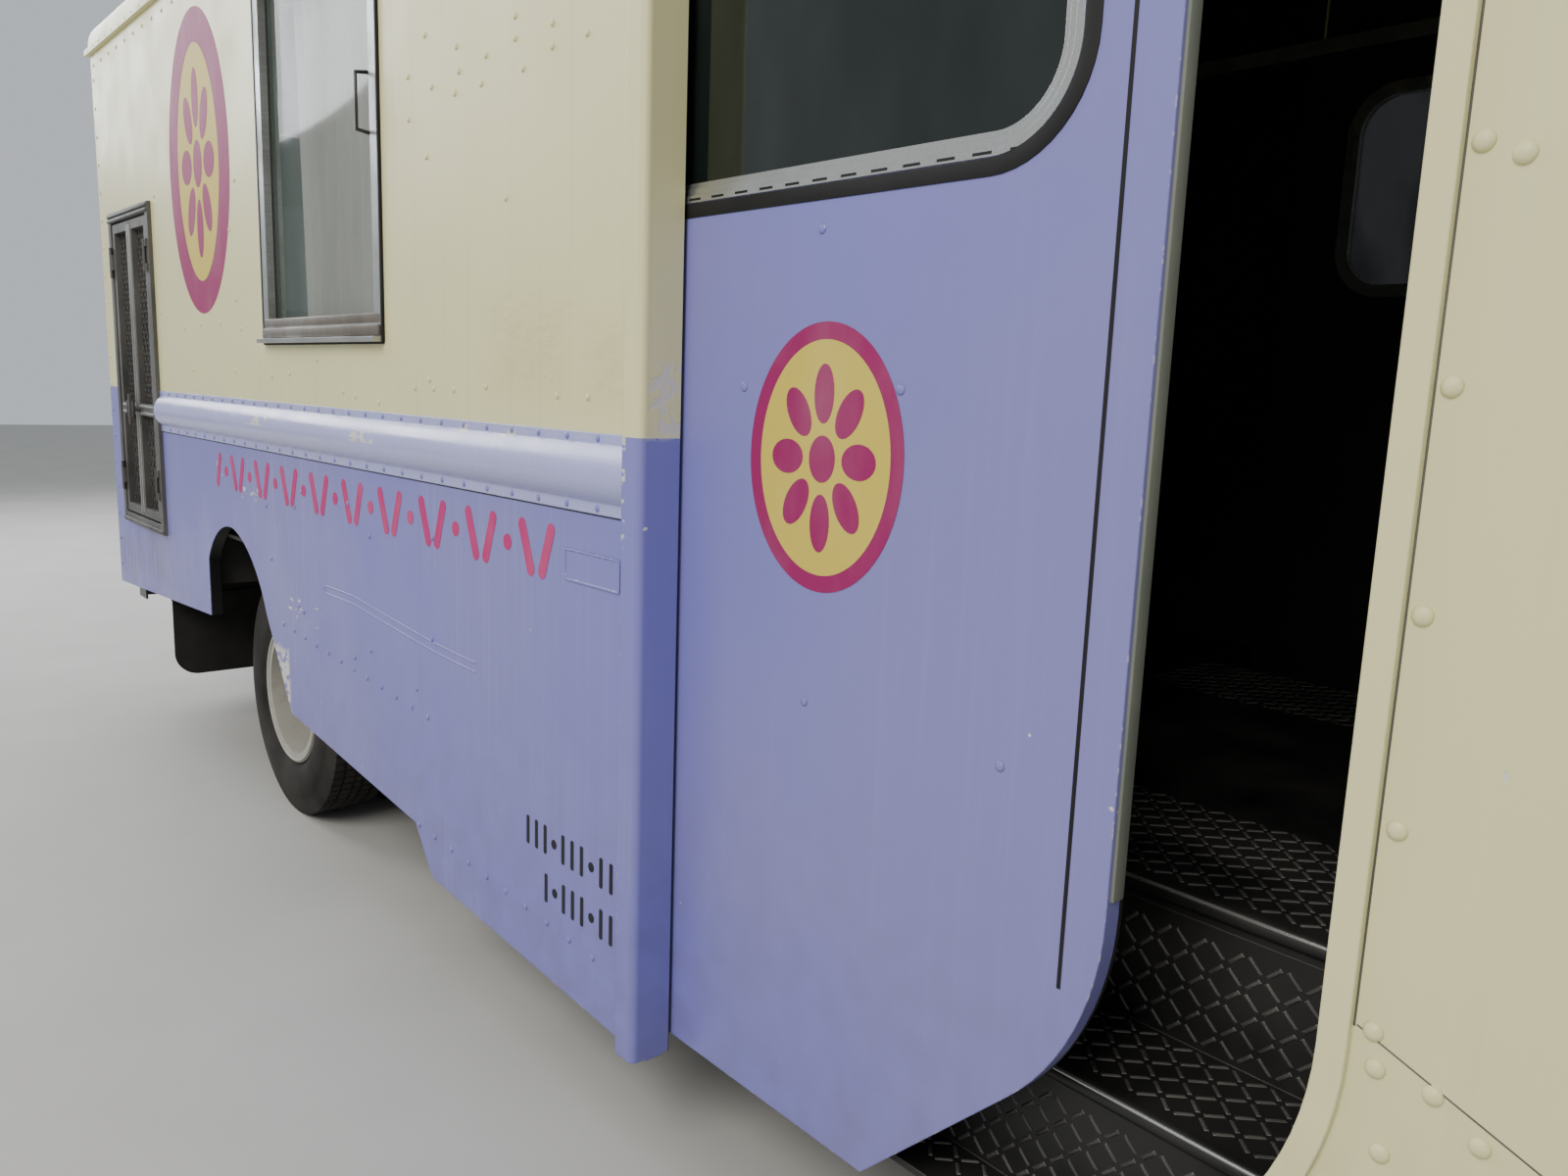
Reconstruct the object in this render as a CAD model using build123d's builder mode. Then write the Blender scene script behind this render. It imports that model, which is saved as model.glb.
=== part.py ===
from build123d import *
import os
from math import atan2, cos, radians, sin

# A walk-in step van fitted out to sell ice cream, in millimetres.
# x runs across (the curb side is -x), y runs rearwards, z up from the road.
# The origin is on the road, in the middle of the vehicle's length and width.

os.makedirs("parts", exist_ok=True)

# Body shell
body_half = 1150             # centre line to the side skin
wall = 40                    # a whole wall, skin to lining
body_top = 2700              # underside of the roof
body_end = 3280              # rear face of the rear wall
roof_crown = 180             # roof's height above the walls
roof_edge_r = 110
roof_front_y = -2850
drip_out = 16                # drip rail past the skin
drip_h = 22
corner_r = 35                # rear corners
belt_low = 1228              # belt moulding, lower and upper edge
belt_high = 1377
belt_out = 30                # its half-round, past the skin
belt_flange = 3
belt_edges = (22, 20)        # width of the lower and the upper flange
belt_end_r = 15
belt_rear_y = 2470
roof_vent = (0, 900, 420, 45)    # middle in x and y, side, height of the lid

# Running gear
front_axle_y = -2520
wheelbase = 3990
tyre_r = 405
tyre_w = 220
tyre_bulge_r = 300           # where the sidewall is widest
tread_half = 92
rim_seat_r = 212
rim_flange_r = 230
rim_w = 172
rim_wall = 14
front_wheel_x = 880          # centre of a front tyre
rear_inner_x = 680           # centres of a rear pair
rear_outer_x = 940
kingpin_x = 740
kingpin_r = 18
steering_arm = 170
running_gap = 0.5            # pin or spindle in its bore
seat_gap = 0.3               # a piece at rest on another body's piece
lug_circle_r = 111
lug_count = 8
disc_t = 12
disc_dish = ((0, 60), (0, 138), (34, 172), (66, rim_seat_r - 6))     # a disc's set-back at each radius
hand_hole_circle, hand_hole_r = 160, 17
hub_r, flange_r, drum_r = 78, 100, 160
spindle_r = 34

# Frame
rail_x = 430
rail_w = 70
rail_h = 180
rail_t = 9
rail_top = 650
rail_front_y = -3210
rail_rear_y = 3200
crossmember_ys = (-3150, -2010, -1250, -300, 700, 2250, 3100)
crossmember_w = 80
crossmember_h = 90

# Floor and steps
floor_top = 750
floor_t = 40
floor_half = 1040            # floor's edge beside a sliding door
bearer_w = 60
bearer_pitch = 480
wheelhouse_inner_x = 545
wheelhouse_t = 12
wheelhouse_clear = 100       # above and around a tyre
bottom_step_z = 280
mid_step_z = 510
step_plate = 12
bottom_step_in = 205         # risers, inwards from the skin
mid_step_in = 400
nosing_r = 14

# Side doorways and their sliding doors
doorway_front_y = -1990
doorway_w = 1205
doorway_top = 2420
doorway_corner_r = 430       # big lower front corner
doorway_corner_z = 830
doorway_top_r = 70
doorway_trim_w = 30
doorway_trim_out = 8
door_lap = 8                 # door past the doorway's edge
door_in = 62                 # door's outer face, inwards from the skin
door_t = 36
door_low = 250
door_rear_lap = 15
door_open = 305              # how far the curb-side door stands open
door_window = (965, 560, 130)    # length, height, corner radius
door_window_low = 1770
door_window_from_front = 130
glass_t = 6
track_h = 40
post_w = 55
post_out = 30                # past the skin, as proud as the belt that butts against it
post_corner_r = 14
sash_steps = ((0.3, 12, -1.5), (12, 24, 3), (24, 33, 7))    # rings: outer, inner margin, set-back
sash_w = sash_steps[-1][1]
grip_z = (1150, 1340)        # grip on the door's inner face
grip_in = 34
grip_r = 11
grip_from_front = 90

# Curb-side panel
skirt_low_front = 215        # lower edge of the panel from the doorway back
skirt_low_rear = 259
skirt_rear_y = 129
sill_front_z = 372
sill_front_y = 223
sill_rear_z = 443
tail_front_z = 611
tail_rear_z = 539
arch_front = 363             # wheel arch's lower front corner, ahead of the axle
arch_points = ((-161, 721), (9, 901), (140, 950), (340, 907), (440, 812))   # behind the axle, height

# Serving window
window_y = 350
window_w = 860
window_z = 1545
window_h = 1005
window_frame = 45
window_frame_out = 6
pane_in = 18                 # the pane, inwards from the skin
curtain_rod_r = 7
curtain_w = 560
curtain_t = 18

# Mesh bay
bay_y = 2435
bay_w = 615
bay_z = 830
bay_h = 1230
bay_depth = 440
bay_rim = 38
bay_rim_out = 14
bay_sheet = 10
leaf_gap = 8
leaf_t = 24
leaf_bar = 34
leaf_rail_z = (1275, 1320)   # the leaf's middle rail
mesh_t = 3
mesh_pitch = (46, 80)        # one diamond of the expanded metal, across and up
mesh_strand = 6

# Rear doors
rear_doorway_half = 700
rear_doorway_low = 760
rear_doorway_top = 2520
rear_door_gap = 10
rear_window = (430, 470, 60)
rear_window_z = 1740
handle_z = 1320
hinge_out = 14                # hinge pins behind the rear face
hinge_r = 9
hinge_half = 45
barrel_end = 28              # length of a fixed barrel
mesh_hinge_r = 5.5
mesh_hinge_out = 6
mesh_hinge_half = 30

# Front end
cab_low = 330
nose_y = -3260               # grille's face
nose_top_z = 1330
cowl_y = -3000               # foot of the windshield
cowl_z = 1500
visor_y = -2790              # head of the windshield
cab_corner_r = 160
windshield = (60, 1000)      # inner and outer edge of one pane
windshield_low = 1600
windshield_top = 2520
quarter_y = (-2660, -2210)   # small side window
quarter_z = (1680, 2360)
front_arch_r = 460
front_arch_up = 15
grille_half = 560
grille_low = 700
grille_top = 1180
grille_bars = 7
grille_rim = 30
grille_bar_h = 26
headlamp_x = 800
headlamp_z = 930
headlamp_r = 92
headlamp_out = 22
hood_half = 620
hood_gap = 6
hood_t = 22

# Bumpers
front_bumper_out = 190       # its face, past the rails' ends
rear_bumper_out = 200
front_bumper_z = (400, 600)
front_bumper_half = 1120
front_bumper_d = 110
rear_bumper_z = (440, 560)
rear_bumper_half = 1050
rear_bumper_d = 112
bumper_t = 8
hitch_r = 16
hitch_in = 55                # ahead of the rear bumper's face
plate_hole_r = 3.5
plate_hole_pitch = 178
front_plate_z = 460
rear_plate_z = 500

# Cab fittings
cover_half = 330             # engine cover
cover_rear_y = -2290
cover_top = 1120
cover_t = 25
cover_r = 45
deck_front_y = -2945
dash_top = 1440
dash_low = 1200
dash_d = 195
binnacle = (340, 150, 75)    # across, front to back, above the dash
seat_x = 520
seat_y = -1855
seat_w = 480
seat_d = 450
seat_z = 1190                # top of the cushion
cushion_h = 110
pan_t = 18                   # the pan under the cushion
back_h = 560
back_t = 105
cushion_r = 28
steering_reach = 425         # the wheel's centre behind the dash panel
steering_z = 1420
steering_tilt = 40           # of the wheel's plane from level
steering_r = 225
steering_rim_r = 15

rear_axle_y = front_axle_y + wheelbase
doorway_rear_y = doorway_front_y + doorway_w
rear_wall_y = body_end - wall
roof_top = body_top + roof_crown
axle_z = tyre_r
door_plane = body_half - door_in
door_closed_front = doorway_front_y - door_lap
door_closed_rear = doorway_rear_y + door_rear_lap
door_top_z = doorway_top + door_lap
rail_low = rail_top - rail_h
floor_low = floor_top - floor_t
front_bumper_y = rail_front_y - front_bumper_out
rear_bumper_y = rail_rear_y + rear_bumper_out


def block(xs, ys, zs, mode=Mode.ADD):
    """A box between two x, two y and two z."""
    (x0, x1), (y0, y1), (z0, z1) = (sorted(ends) for ends in (xs, ys, zs))
    with Locations(((x0 + x1) / 2, (y0 + y1) / 2, (z0 + z1) / 2)):
        Box(x1 - x0, y1 - y0, z1 - z0, mode=mode)


def rod(start, end, radius, mode=Mode.ADD):
    """A round bar from one point to another."""
    along = Vector(*end) - Vector(*start)
    with Locations(Plane(origin=start, z_dir=along)):
        Cylinder(radius, along.length, align=(Align.CENTER, Align.CENTER, Align.MIN), mode=mode)


def side_face(x):
    """Plane whose sketches are drawn in y and z; it faces +x."""
    return Plane(origin=(x, 0, 0), x_dir=(0, 1, 0), z_dir=(1, 0, 0))


def cross_face(y):
    """Plane whose sketches are drawn in x and z; it faces the front."""
    return Plane(origin=(0, y, 0), x_dir=(1, 0, 0), z_dir=(0, -1, 0))


def barrels(x, y, z, half, radius, fixed):
    """Hinge barrels about an upright axis: the leaf's, or the two of the fixed side above and below it."""
    for way in (-1, 1) if fixed else (0,):
        near = half + seat_gap if fixed else -half
        far = half + seat_gap + barrel_end if fixed else half
        rod((x, y, z + (way or 1) * near), (x, y, z + (way or 1) * far), radius)


def save(piece, name):
    """Label a finished piece and write it under its node's name."""
    piece.part.label = name
    export_step(piece.part, f"parts/{name}.step")


def pane(side_x, y_mid, z_mid, length, height, radius, thick, mode=Mode.ADD):
    """A rounded rectangle seen from the side, from side_x towards +x."""
    with BuildSketch(side_face(side_x)) as outline:
        with Locations((y_mid, z_mid)):
            RectangleRounded(length, height, radius)
    extrude(outline.sketch, amount=thick, mode=mode)


# Frame: two channel rails and the crossmembers between them
with BuildPart() as frame_rails:
    for side in (-1, 1):
        inner, outer = side * (rail_x - rail_w / 2), side * (rail_x + rail_w / 2)
        block((outer - side * rail_t, outer), (rail_front_y, rail_rear_y), (rail_low, rail_top))
        block((inner, outer), (rail_front_y, rail_rear_y), (rail_top - rail_t, rail_top))
        block((inner, outer), (rail_front_y, rail_rear_y), (rail_low, rail_low + rail_t))
    reach = rail_x + rail_w / 2 - rail_t
    for y in crossmember_ys:
        low, high = rail_top - rail_t - crossmember_h, rail_top - rail_t
        block((-reach, reach), (y, y + rail_t), (low, high))
        block((-reach, reach), (y, y + crossmember_w), (low, low + rail_t))
save(frame_rails, "frame_rails")


# Leaf springs: concentric leaves, the longest on top, eyes at both ends
leaf_t_spring = 11
leaf_w = 64
leaf_r = 5000                # radius of the spring's sweep, centre above
eye_r2 = 22                  # half a hanger's width at the eye
hanger_half = 28
rear_spring_x = rail_x + rail_w / 2 + 45


def leaf_edge(y, centre_z, radius, a):
    """One face of a leaf, an arc that spans the angle a to each side."""
    return ThreePointArc((y - radius * sin(a), centre_z - radius * cos(a)), (y, centre_z - radius),
                         (y + radius * sin(a), centre_z - radius * cos(a)))


def leaf_pack(x, y, low_z, half_lengths, hanger_top, hanger_x=None):
    """Leaves under an eye at each end, on a pad at low_z."""
    centre_z = low_z + leaf_r
    with BuildSketch(side_face(x - leaf_w / 2)) as leaves:
        for i, half in enumerate(half_lengths):
            a = half / leaf_r
            with BuildLine():
                low = leaf_edge(y, centre_z, leaf_r - i * leaf_t_spring, a)
                high = leaf_edge(y, centre_z, leaf_r - (i + 1) * leaf_t_spring, a)
                Line(low @ 0, high @ 0)
                Line(low @ 1, high @ 1)
            make_face()
    extrude(leaves.sketch, amount=leaf_w)
    a = half_lengths[-1] / leaf_r
    eye_r = leaf_r - len(half_lengths) * leaf_t_spring
    for way in (-1, 1):
        eye_y, eye_z = y + way * eye_r * sin(a), centre_z - eye_r * cos(a)
        rod((x - leaf_w / 2, eye_y, eye_z), (x + leaf_w / 2, eye_y, eye_z), eye_r2 + 2)
        block((x - hanger_half, x + hanger_half), (eye_y - eye_r2, eye_y + eye_r2), (eye_z, hanger_top))
        if hanger_x:
            block((x, hanger_x), (eye_y - eye_r2, eye_y + eye_r2), (eye_z + hanger_half, hanger_top))


front_pad_z = 352
rear_pad_z = axle_z + 62
with BuildPart() as leaf_springs:
    for side in (-1, 1):
        leaf_pack(side * rail_x, front_axle_y, front_pad_z, (280, 400, 520, 640), rail_low)
        leaf_pack(side * rear_spring_x, rear_axle_y, rear_pad_z, (300, 430, 560, 700), rail_top - 12,
                  side * (rail_x + rail_w / 2))
save(leaf_springs, "leaf_springs")

# Front axle: a dropped beam with an eye round each kingpin
beam_z = front_pad_z - 70
beam_half = 32               # half its depth, front to back
eye_half_h = 30
eye_outer_r = 38
knuckle_gap = 1
fork_half_h = 72
with BuildPart() as front_axle:
    half = [(kingpin_x - 30, axle_z + 26), (kingpin_x - 30, axle_z - 26), (rail_x + 70, beam_z)]
    half = [(rail_x + 110, front_pad_z)] + half
    with BuildSketch(cross_face(front_axle_y - beam_half)):
        with BuildLine():
            Polyline(half + [(-x, z) for x, z in half[::-1]], close=True)
        make_face()
    extrude(amount=-2 * beam_half)
    for side in (-1, 1):
        with BuildSketch(Plane.XY.offset(axle_z - eye_half_h)):
            with Locations((side * kingpin_x, front_axle_y)):
                Circle(eye_outer_r)
        extrude(amount=2 * eye_half_h)
        rod((side * kingpin_x, front_axle_y, axle_z - 60), (side * kingpin_x, front_axle_y, axle_z + 60),
            kingpin_r + running_gap, Mode.SUBTRACT)
    for y in (front_axle_y - beam_half, front_axle_y + beam_half - 18):
        block((-rail_x - 40, rail_x + 40), (y, y + 18), (beam_z + 16, front_pad_z - 16), Mode.SUBTRACT)
save(front_axle, "front_axle")

# Steering knuckles: a fork over the axle's eye, the spindle and a steering arm
arm_low = 318
for side, name in ((-1, "right"), (1, "left")):
    with BuildPart() as knuckle:
        x = side * kingpin_x
        rod((x, front_axle_y, axle_z - fork_half_h), (x, front_axle_y, axle_z + fork_half_h), kingpin_r)
        for way in (-1, 1):
            near, far = axle_z + way * (eye_half_h + knuckle_gap), axle_z + way * fork_half_h
            rod((x, front_axle_y, near), (x, front_axle_y, far), 36)
            block((x, side * (kingpin_x + 60)), (front_axle_y - 30, front_axle_y + 30), (near, far))
        block((side * (kingpin_x + 44), side * (kingpin_x + 64)), (front_axle_y - 62, front_axle_y + 62),
              (axle_z - 90, axle_z + 90))
        rod((side * (kingpin_x + 50), front_axle_y, axle_z),
            (side * (front_wheel_x + 60), front_axle_y, axle_z), spindle_r)
        with BuildSketch(Plane.XY.offset(arm_low)):
            with BuildLine():
                Polyline((side * (kingpin_x - 32), front_axle_y), (side * (kingpin_x + 32), front_axle_y),
                         (side * (kingpin_x + 22), front_axle_y + steering_arm),
                         (side * (kingpin_x - 22), front_axle_y + steering_arm), close=True)
            make_face()
            with Locations((side * kingpin_x, front_axle_y + steering_arm)):
                Circle(24)
        extrude(amount=18)
    save(knuckle, f"knuckle_{name}")

# Tie rod, just under both steering arms
with BuildPart() as tie_rod:
    rod_z = arm_low - seat_gap - 22
    rod((-kingpin_x, front_axle_y + steering_arm, rod_z), (kingpin_x, front_axle_y + steering_arm, rod_z), 15)
    for side in (-1, 1):
        rod((side * kingpin_x, front_axle_y + steering_arm, rod_z - 18),
            (side * kingpin_x, front_axle_y + steering_arm, arm_low - seat_gap), 21)
save(tie_rod, "tie_rod")

# Rear axle: housing, differential, drum plates, spindles, and the shaft forward to the gearbox
plate_x = rear_inner_x - 80
tube_r = 62
banjo_r = 165
banjo_half = 260
shaft_r = 38
rear_spindle_r = spindle_r + 8
gearbox_rear_y = -2040
gearbox_z = 480
with BuildPart() as rear_axle:
    rod((-plate_x, rear_axle_y, axle_z), (plate_x, rear_axle_y, axle_z), tube_r)
    with BuildSketch(cross_face(rear_axle_y)):
        with BuildLine():
            Polyline((-banjo_half, axle_z), (-banjo_half / 2, axle_z + banjo_r),
                     (banjo_half / 2, axle_z + banjo_r), (banjo_half, axle_z), close=True)
        make_face()
    revolve(axis=Axis((0, rear_axle_y, axle_z), (1, 0, 0)))
    for side in (-1, 1):
        rod((side * (plate_x - 14), rear_axle_y, axle_z), (side * plate_x, rear_axle_y, axle_z), 168)
        rod((side * plate_x, rear_axle_y, axle_z), (side * (rear_inner_x + 120), rear_axle_y, axle_z),
            rear_spindle_r)
        spring_x = side * rear_spring_x
        block((spring_x - 40, spring_x + 40), (rear_axle_y - 60, rear_axle_y + 60), (axle_z, rear_pad_z))
    shaft_start = (0, rear_axle_y - banjo_r + 10, axle_z)
    rod(shaft_start, (0, rear_axle_y - banjo_r - 90, axle_z + 4), 62)
    rod(shaft_start, (0, gearbox_rear_y + 4, gearbox_z), shaft_r)
    rod((0, gearbox_rear_y + 90, gearbox_z - 2), (0, gearbox_rear_y + 4, gearbox_z), 58)
save(rear_axle, "rear_axle")

# Engine and gearbox, plain masses at their place, on two mounts over the rails' lower flanges
engine_half, engine_y, engine_z = 230, (-3060, -2380), (500, 1060)
mount_y, mount_z = (-2840, -2760), (520, 545)
with BuildPart() as engine_block:
    block((-engine_half, engine_half), engine_y, engine_z)
    block((-130, 130), (engine_y[1], gearbox_rear_y), (gearbox_z - 80, rail_top - 10))
    for side in (-1, 1):
        block((side * engine_half, side * (rail_x + 10)), mount_y, mount_z)
        block((side * (rail_x - 28), side * (rail_x + 10)), mount_y,
              (rail_low + rail_t + seat_gap, mount_z[0]))
save(engine_block, "engine_block")

# Fuel tank beside the curb-side rail, muffler and pipe beside the other
tank_y, tank_z, tank_w = (-620, 420), (370, 630), 470
strap_t = 4
with BuildPart() as fuel_tank:
    near = -(rail_x + rail_w / 2) - seat_gap
    block((near - tank_w, near), tank_y, tank_z)
    fillet(fuel_tank.edges().filter_by(Axis.Y), 45)
    for y in (tank_y[0] + 220, tank_y[1] - 260):
        (low, high), outer = tank_z, near - tank_w
        block((outer - strap_t, near), (y, y + 40), (low - strap_t, low))
        block((outer - strap_t, outer), (y, y + 40), (low - strap_t, high + strap_t))
        block((outer - strap_t, near), (y, y + 40), (high, high + strap_t))
save(fuel_tank, "fuel_tank")

pipe_r = 28
muffler_r = 95
exhaust_x, exhaust_z = 600, 430
muffler_y = (-600, 250)
with BuildPart() as exhaust:
    path = ((200, -2350), (200, -1750), (exhaust_x, -1400), (exhaust_x, muffler_y[0]),
            (exhaust_x, muffler_y[1]), (exhaust_x, 560), (880, 880), (1080, 930))
    for (x0, y0), (x1, y1) in zip(path, path[1:]):
        rod((x0, y0, exhaust_z), (x1, y1, exhaust_z), pipe_r)
        with Locations((x1, y1, exhaust_z)):
            Sphere(pipe_r)
    rod((exhaust_x, muffler_y[0], exhaust_z), (exhaust_x, muffler_y[1], exhaust_z), muffler_r)
    for y in (muffler_y[0] + 40, muffler_y[1] - 70):
        block((rail_x + rail_w / 2 + seat_gap, exhaust_x), (y, y + 30), (exhaust_z + 60, exhaust_z + 100))
save(exhaust, "exhaust")


# Wheels: a dished disc in a rim, eight hand holes, and a hub that runs on the spindle
def wheel_rims(side, axle_y, centres, disc_x, hub_reach, drum, bore):
    """Rims at the given distances out, their discs bolted together at disc_x; bore is its radius and end."""
    with BuildPart() as rims:
        for centre in centres:
            for a, b, r0, r1 in ((-rim_w / 2, rim_w / 2, rim_seat_r - rim_wall, rim_seat_r - seat_gap),
                                 (-rim_w / 2 - 7, -rim_w / 2, rim_seat_r - rim_wall, rim_flange_r),
                                 (rim_w / 2, rim_w / 2 + 7, rim_seat_r - rim_wall, rim_flange_r)):
                with BuildSketch(side_face(side * (centre + a))):
                    with Locations((axle_y, axle_z)):
                        Circle(r1)
                        Circle(r0, mode=Mode.SUBTRACT)
                extrude(amount=side * (b - a))
            toward = 1 if disc_x > centre else -1
            face = disc_x - toward * 6
            with BuildSketch(cross_face(axle_y)):
                with BuildLine():
                    dish = [(face - toward * back, axle_z + r) for back, r in disc_dish]
                    Polyline([(side * (x + disc_t / 2), z) for x, z in dish]
                             + [(side * (x - disc_t / 2), z) for x, z in dish[::-1]], close=True)
                make_face()
            revolve(axis=Axis((0, axle_y, axle_z), (1, 0, 0)))
            with BuildSketch(side_face(side * (centre - 200))):
                with Locations((axle_y, axle_z)):
                    with PolarLocations(hand_hole_circle, lug_count):
                        Circle(hand_hole_r)
            extrude(amount=side * 400, mode=Mode.SUBTRACT)
        hub_in, hub_out = hub_reach
        rod((side * hub_in, axle_y, axle_z), (side * hub_out, axle_y, axle_z), hub_r)
        rod((side * (disc_x - 14), axle_y, axle_z), (side * (disc_x + 14), axle_y, axle_z), flange_r)
        if drum:
            rod((side * drum[0], axle_y, axle_z), (side * drum[1], axle_y, axle_z), drum_r)
        with BuildSketch(side_face(side * (disc_x - 4))):
            with Locations((axle_y, axle_z)):
                with PolarLocations(lug_circle_r, lug_count):
                    RegularPolygon(15, 6)
        extrude(amount=side * 34)
        rod((side * (hub_in - 1), axle_y, axle_z), (side * bore[1], axle_y, axle_z), bore[0], Mode.SUBTRACT)
    return rims


def tyres(side, axle_y, centres):
    """Tyres on one hub: bead, lower and upper sidewall, shoulder and tread."""
    with BuildPart() as pieces:
        for centre in centres:
            bead = rim_w / 2 - seat_gap
            half = ((bead, rim_seat_r), (bead, rim_flange_r + seat_gap), (tyre_w / 2, tyre_bulge_r),
                    (tread_half, tyre_r))
            with BuildSketch(cross_face(axle_y)):
                with BuildLine():
                    Polyline([(side * centre + out, axle_z + r) for out, r in half]
                             + [(side * centre - out, axle_z + r) for out, r in half[::-1]], close=True)
                make_face()
            revolve(axis=Axis((0, axle_y, axle_z), (1, 0, 0)))
    return pieces


for side, name in ((-1, "right"), (1, "left")):
    disc = front_wheel_x + 108
    front_rim = wheel_rims(side, front_axle_y, (front_wheel_x,), disc, (kingpin_x + 70, disc + 40),
                           (kingpin_x + 70, kingpin_x + 120), (spindle_r + running_gap, front_wheel_x + 66))
    save(front_rim, f"front_rim_{name}")
    save(tyres(side, front_axle_y, (front_wheel_x,)), f"front_tyre_{name}")
    disc = (rear_inner_x + rear_outer_x) / 2
    rear_rims = wheel_rims(side, rear_axle_y, (rear_inner_x, rear_outer_x), disc, (plate_x + 5, disc + 95),
                           (plate_x + 5, disc - 30), (rear_spindle_r + running_gap, rear_inner_x + 126))
    save(rear_rims, f"rear_rims_{name}")
    save(tyres(side, rear_axle_y, (rear_inner_x, rear_outer_x)), f"rear_tyres_{name}")


# Floor: deck on cross bearers, wheelhouses, the engine's opening and the step wells' openings
pocket_end_y = 260           # behind the sliding doors' travel the deck reaches the side walls
rear_house_inner_x = rear_inner_x - tyre_w / 2 - 40
house_half = tyre_r + wheelhouse_clear
house_top = axle_z + house_half
step_out = door_plane - door_t - 8
lower_riser_x = body_half - bottom_step_in
upper_riser_x = body_half - mid_step_in
well_front_y = doorway_front_y + 5
well_rear_y = doorway_rear_y - 5
inner_half = body_half - wall
houses = ((wheelhouse_inner_x, front_axle_y), (rear_house_inner_x, rear_axle_y))
with BuildPart() as floor:
    block((-floor_half, floor_half), (deck_front_y, rear_wall_y), (floor_low, floor_top))
    block((-inner_half, inner_half), (pocket_end_y, rear_wall_y), (floor_low, floor_top))
    bearer_y = deck_front_y
    while bearer_y < rear_wall_y - bearer_w:
        block((-floor_half, floor_half), (bearer_y, bearer_y + bearer_w), (rail_top, floor_low))
        bearer_y += bearer_pitch
    for side in (-1, 1):
        for inner_x, y in houses:
            block((side * inner_x, side * body_half), (max(y - house_half, deck_front_y), y + house_half),
                  (rail_top, floor_top), Mode.SUBTRACT)
        block((side * upper_riser_x, side * body_half), (well_front_y, well_rear_y), (rail_top, floor_top),
              Mode.SUBTRACT)
        block((side * (upper_riser_x - step_plate), side * body_half), (well_front_y, well_rear_y),
              (rail_top, floor_low), Mode.SUBTRACT)
        rod((side * upper_riser_x, well_front_y, floor_top - nosing_r), (side * upper_riser_x, well_rear_y,
            floor_top - nosing_r), nosing_r)
    block((-cover_half + cover_t, cover_half - cover_t), (deck_front_y, cover_rear_y - cover_t),
          (rail_top, floor_top), Mode.SUBTRACT)
save(floor, "floor")

# Wheelhouses: boxes open below and outwards, let into the deck
with BuildPart() as wheelhouses:
    for side in (-1, 1):
        for inner_x, y in houses:
            front = max(y - house_half, deck_front_y)
            block((side * inner_x, side * inner_half), (front, y + house_half), (floor_low, house_top))
            front = max(y - house_half + wheelhouse_t, deck_front_y - 5)
            block((side * (inner_x + wheelhouse_t), side * body_half), (front, y + house_half - wheelhouse_t),
                  (floor_low - 5, house_top - wheelhouse_t), Mode.SUBTRACT)
save(wheelhouses, "wheelhouses")

# Step wells: folded tread plate with rolled nosings, closed by a plate at each end
with BuildPart() as step_wells:
    for side in (-1, 1):
        steps = [(step_out, bottom_step_z), (lower_riser_x, bottom_step_z), (lower_riser_x, mid_step_z),
                 (upper_riser_x, mid_step_z), (upper_riser_x, floor_low)]
        under = [(x - step_plate, z - step_plate) for x, z in steps[1:-1]]
        under = [(step_out, bottom_step_z - step_plate)] + under + [(upper_riser_x - step_plate, floor_low)]
        with BuildSketch(cross_face(well_front_y)):
            with BuildLine():
                Polyline([(side * x, z) for x, z in steps + under[::-1]], close=True)
            make_face()
        extrude(amount=well_front_y - well_rear_y)
        rod((side * lower_riser_x, well_front_y, mid_step_z - nosing_r), (side * lower_riser_x, well_rear_y,
            mid_step_z - nosing_r), nosing_r)
        for y in (well_front_y, well_rear_y - step_plate / 2):
            with BuildSketch(cross_face(y)):
                with BuildLine():
                    Polyline([(side * x, z) for x, z in under] + [(side * step_out, floor_low)], close=True)
                make_face()
            extrude(amount=-step_plate / 2)
save(step_wells, "step_wells")


# Cab: an outer form less the same form drawn in by a wall
rake = (visor_y - cowl_y) / (body_top - cowl_z)
nose_low = 620


def cab_form(inset, over):
    """The cab's solid form drawn in by inset, and past its open back, top and foot by over."""
    top, back = body_top + over, doorway_rear_y + over
    with BuildPart() as form:
        with BuildSketch(side_face(0)):
            with BuildLine():
                Polyline((back, top), (visor_y + rake * over, top), (cowl_y, cowl_z), (nose_y, nose_top_z),
                         (nose_y, cab_low - over), (back, cab_low - over), close=True)
            make_face()
            offset(amount=-inset, kind=Kind.INTERSECTION)
        extrude(amount=body_half - inset, both=True)
        with BuildSketch(Plane.XY.offset(cab_low - over)):
            with BuildLine():
                half, front = body_half - inset, nose_y + inset
                FilletPolyline((half, back), (half, front), (-half, front), (-half, back),
                               radius=cab_corner_r - inset)
                Line((-half, back), (half, back))
            make_face()
        extrude(amount=top + over - cab_low + over, mode=Mode.INTERSECT)
    return form.part


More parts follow.
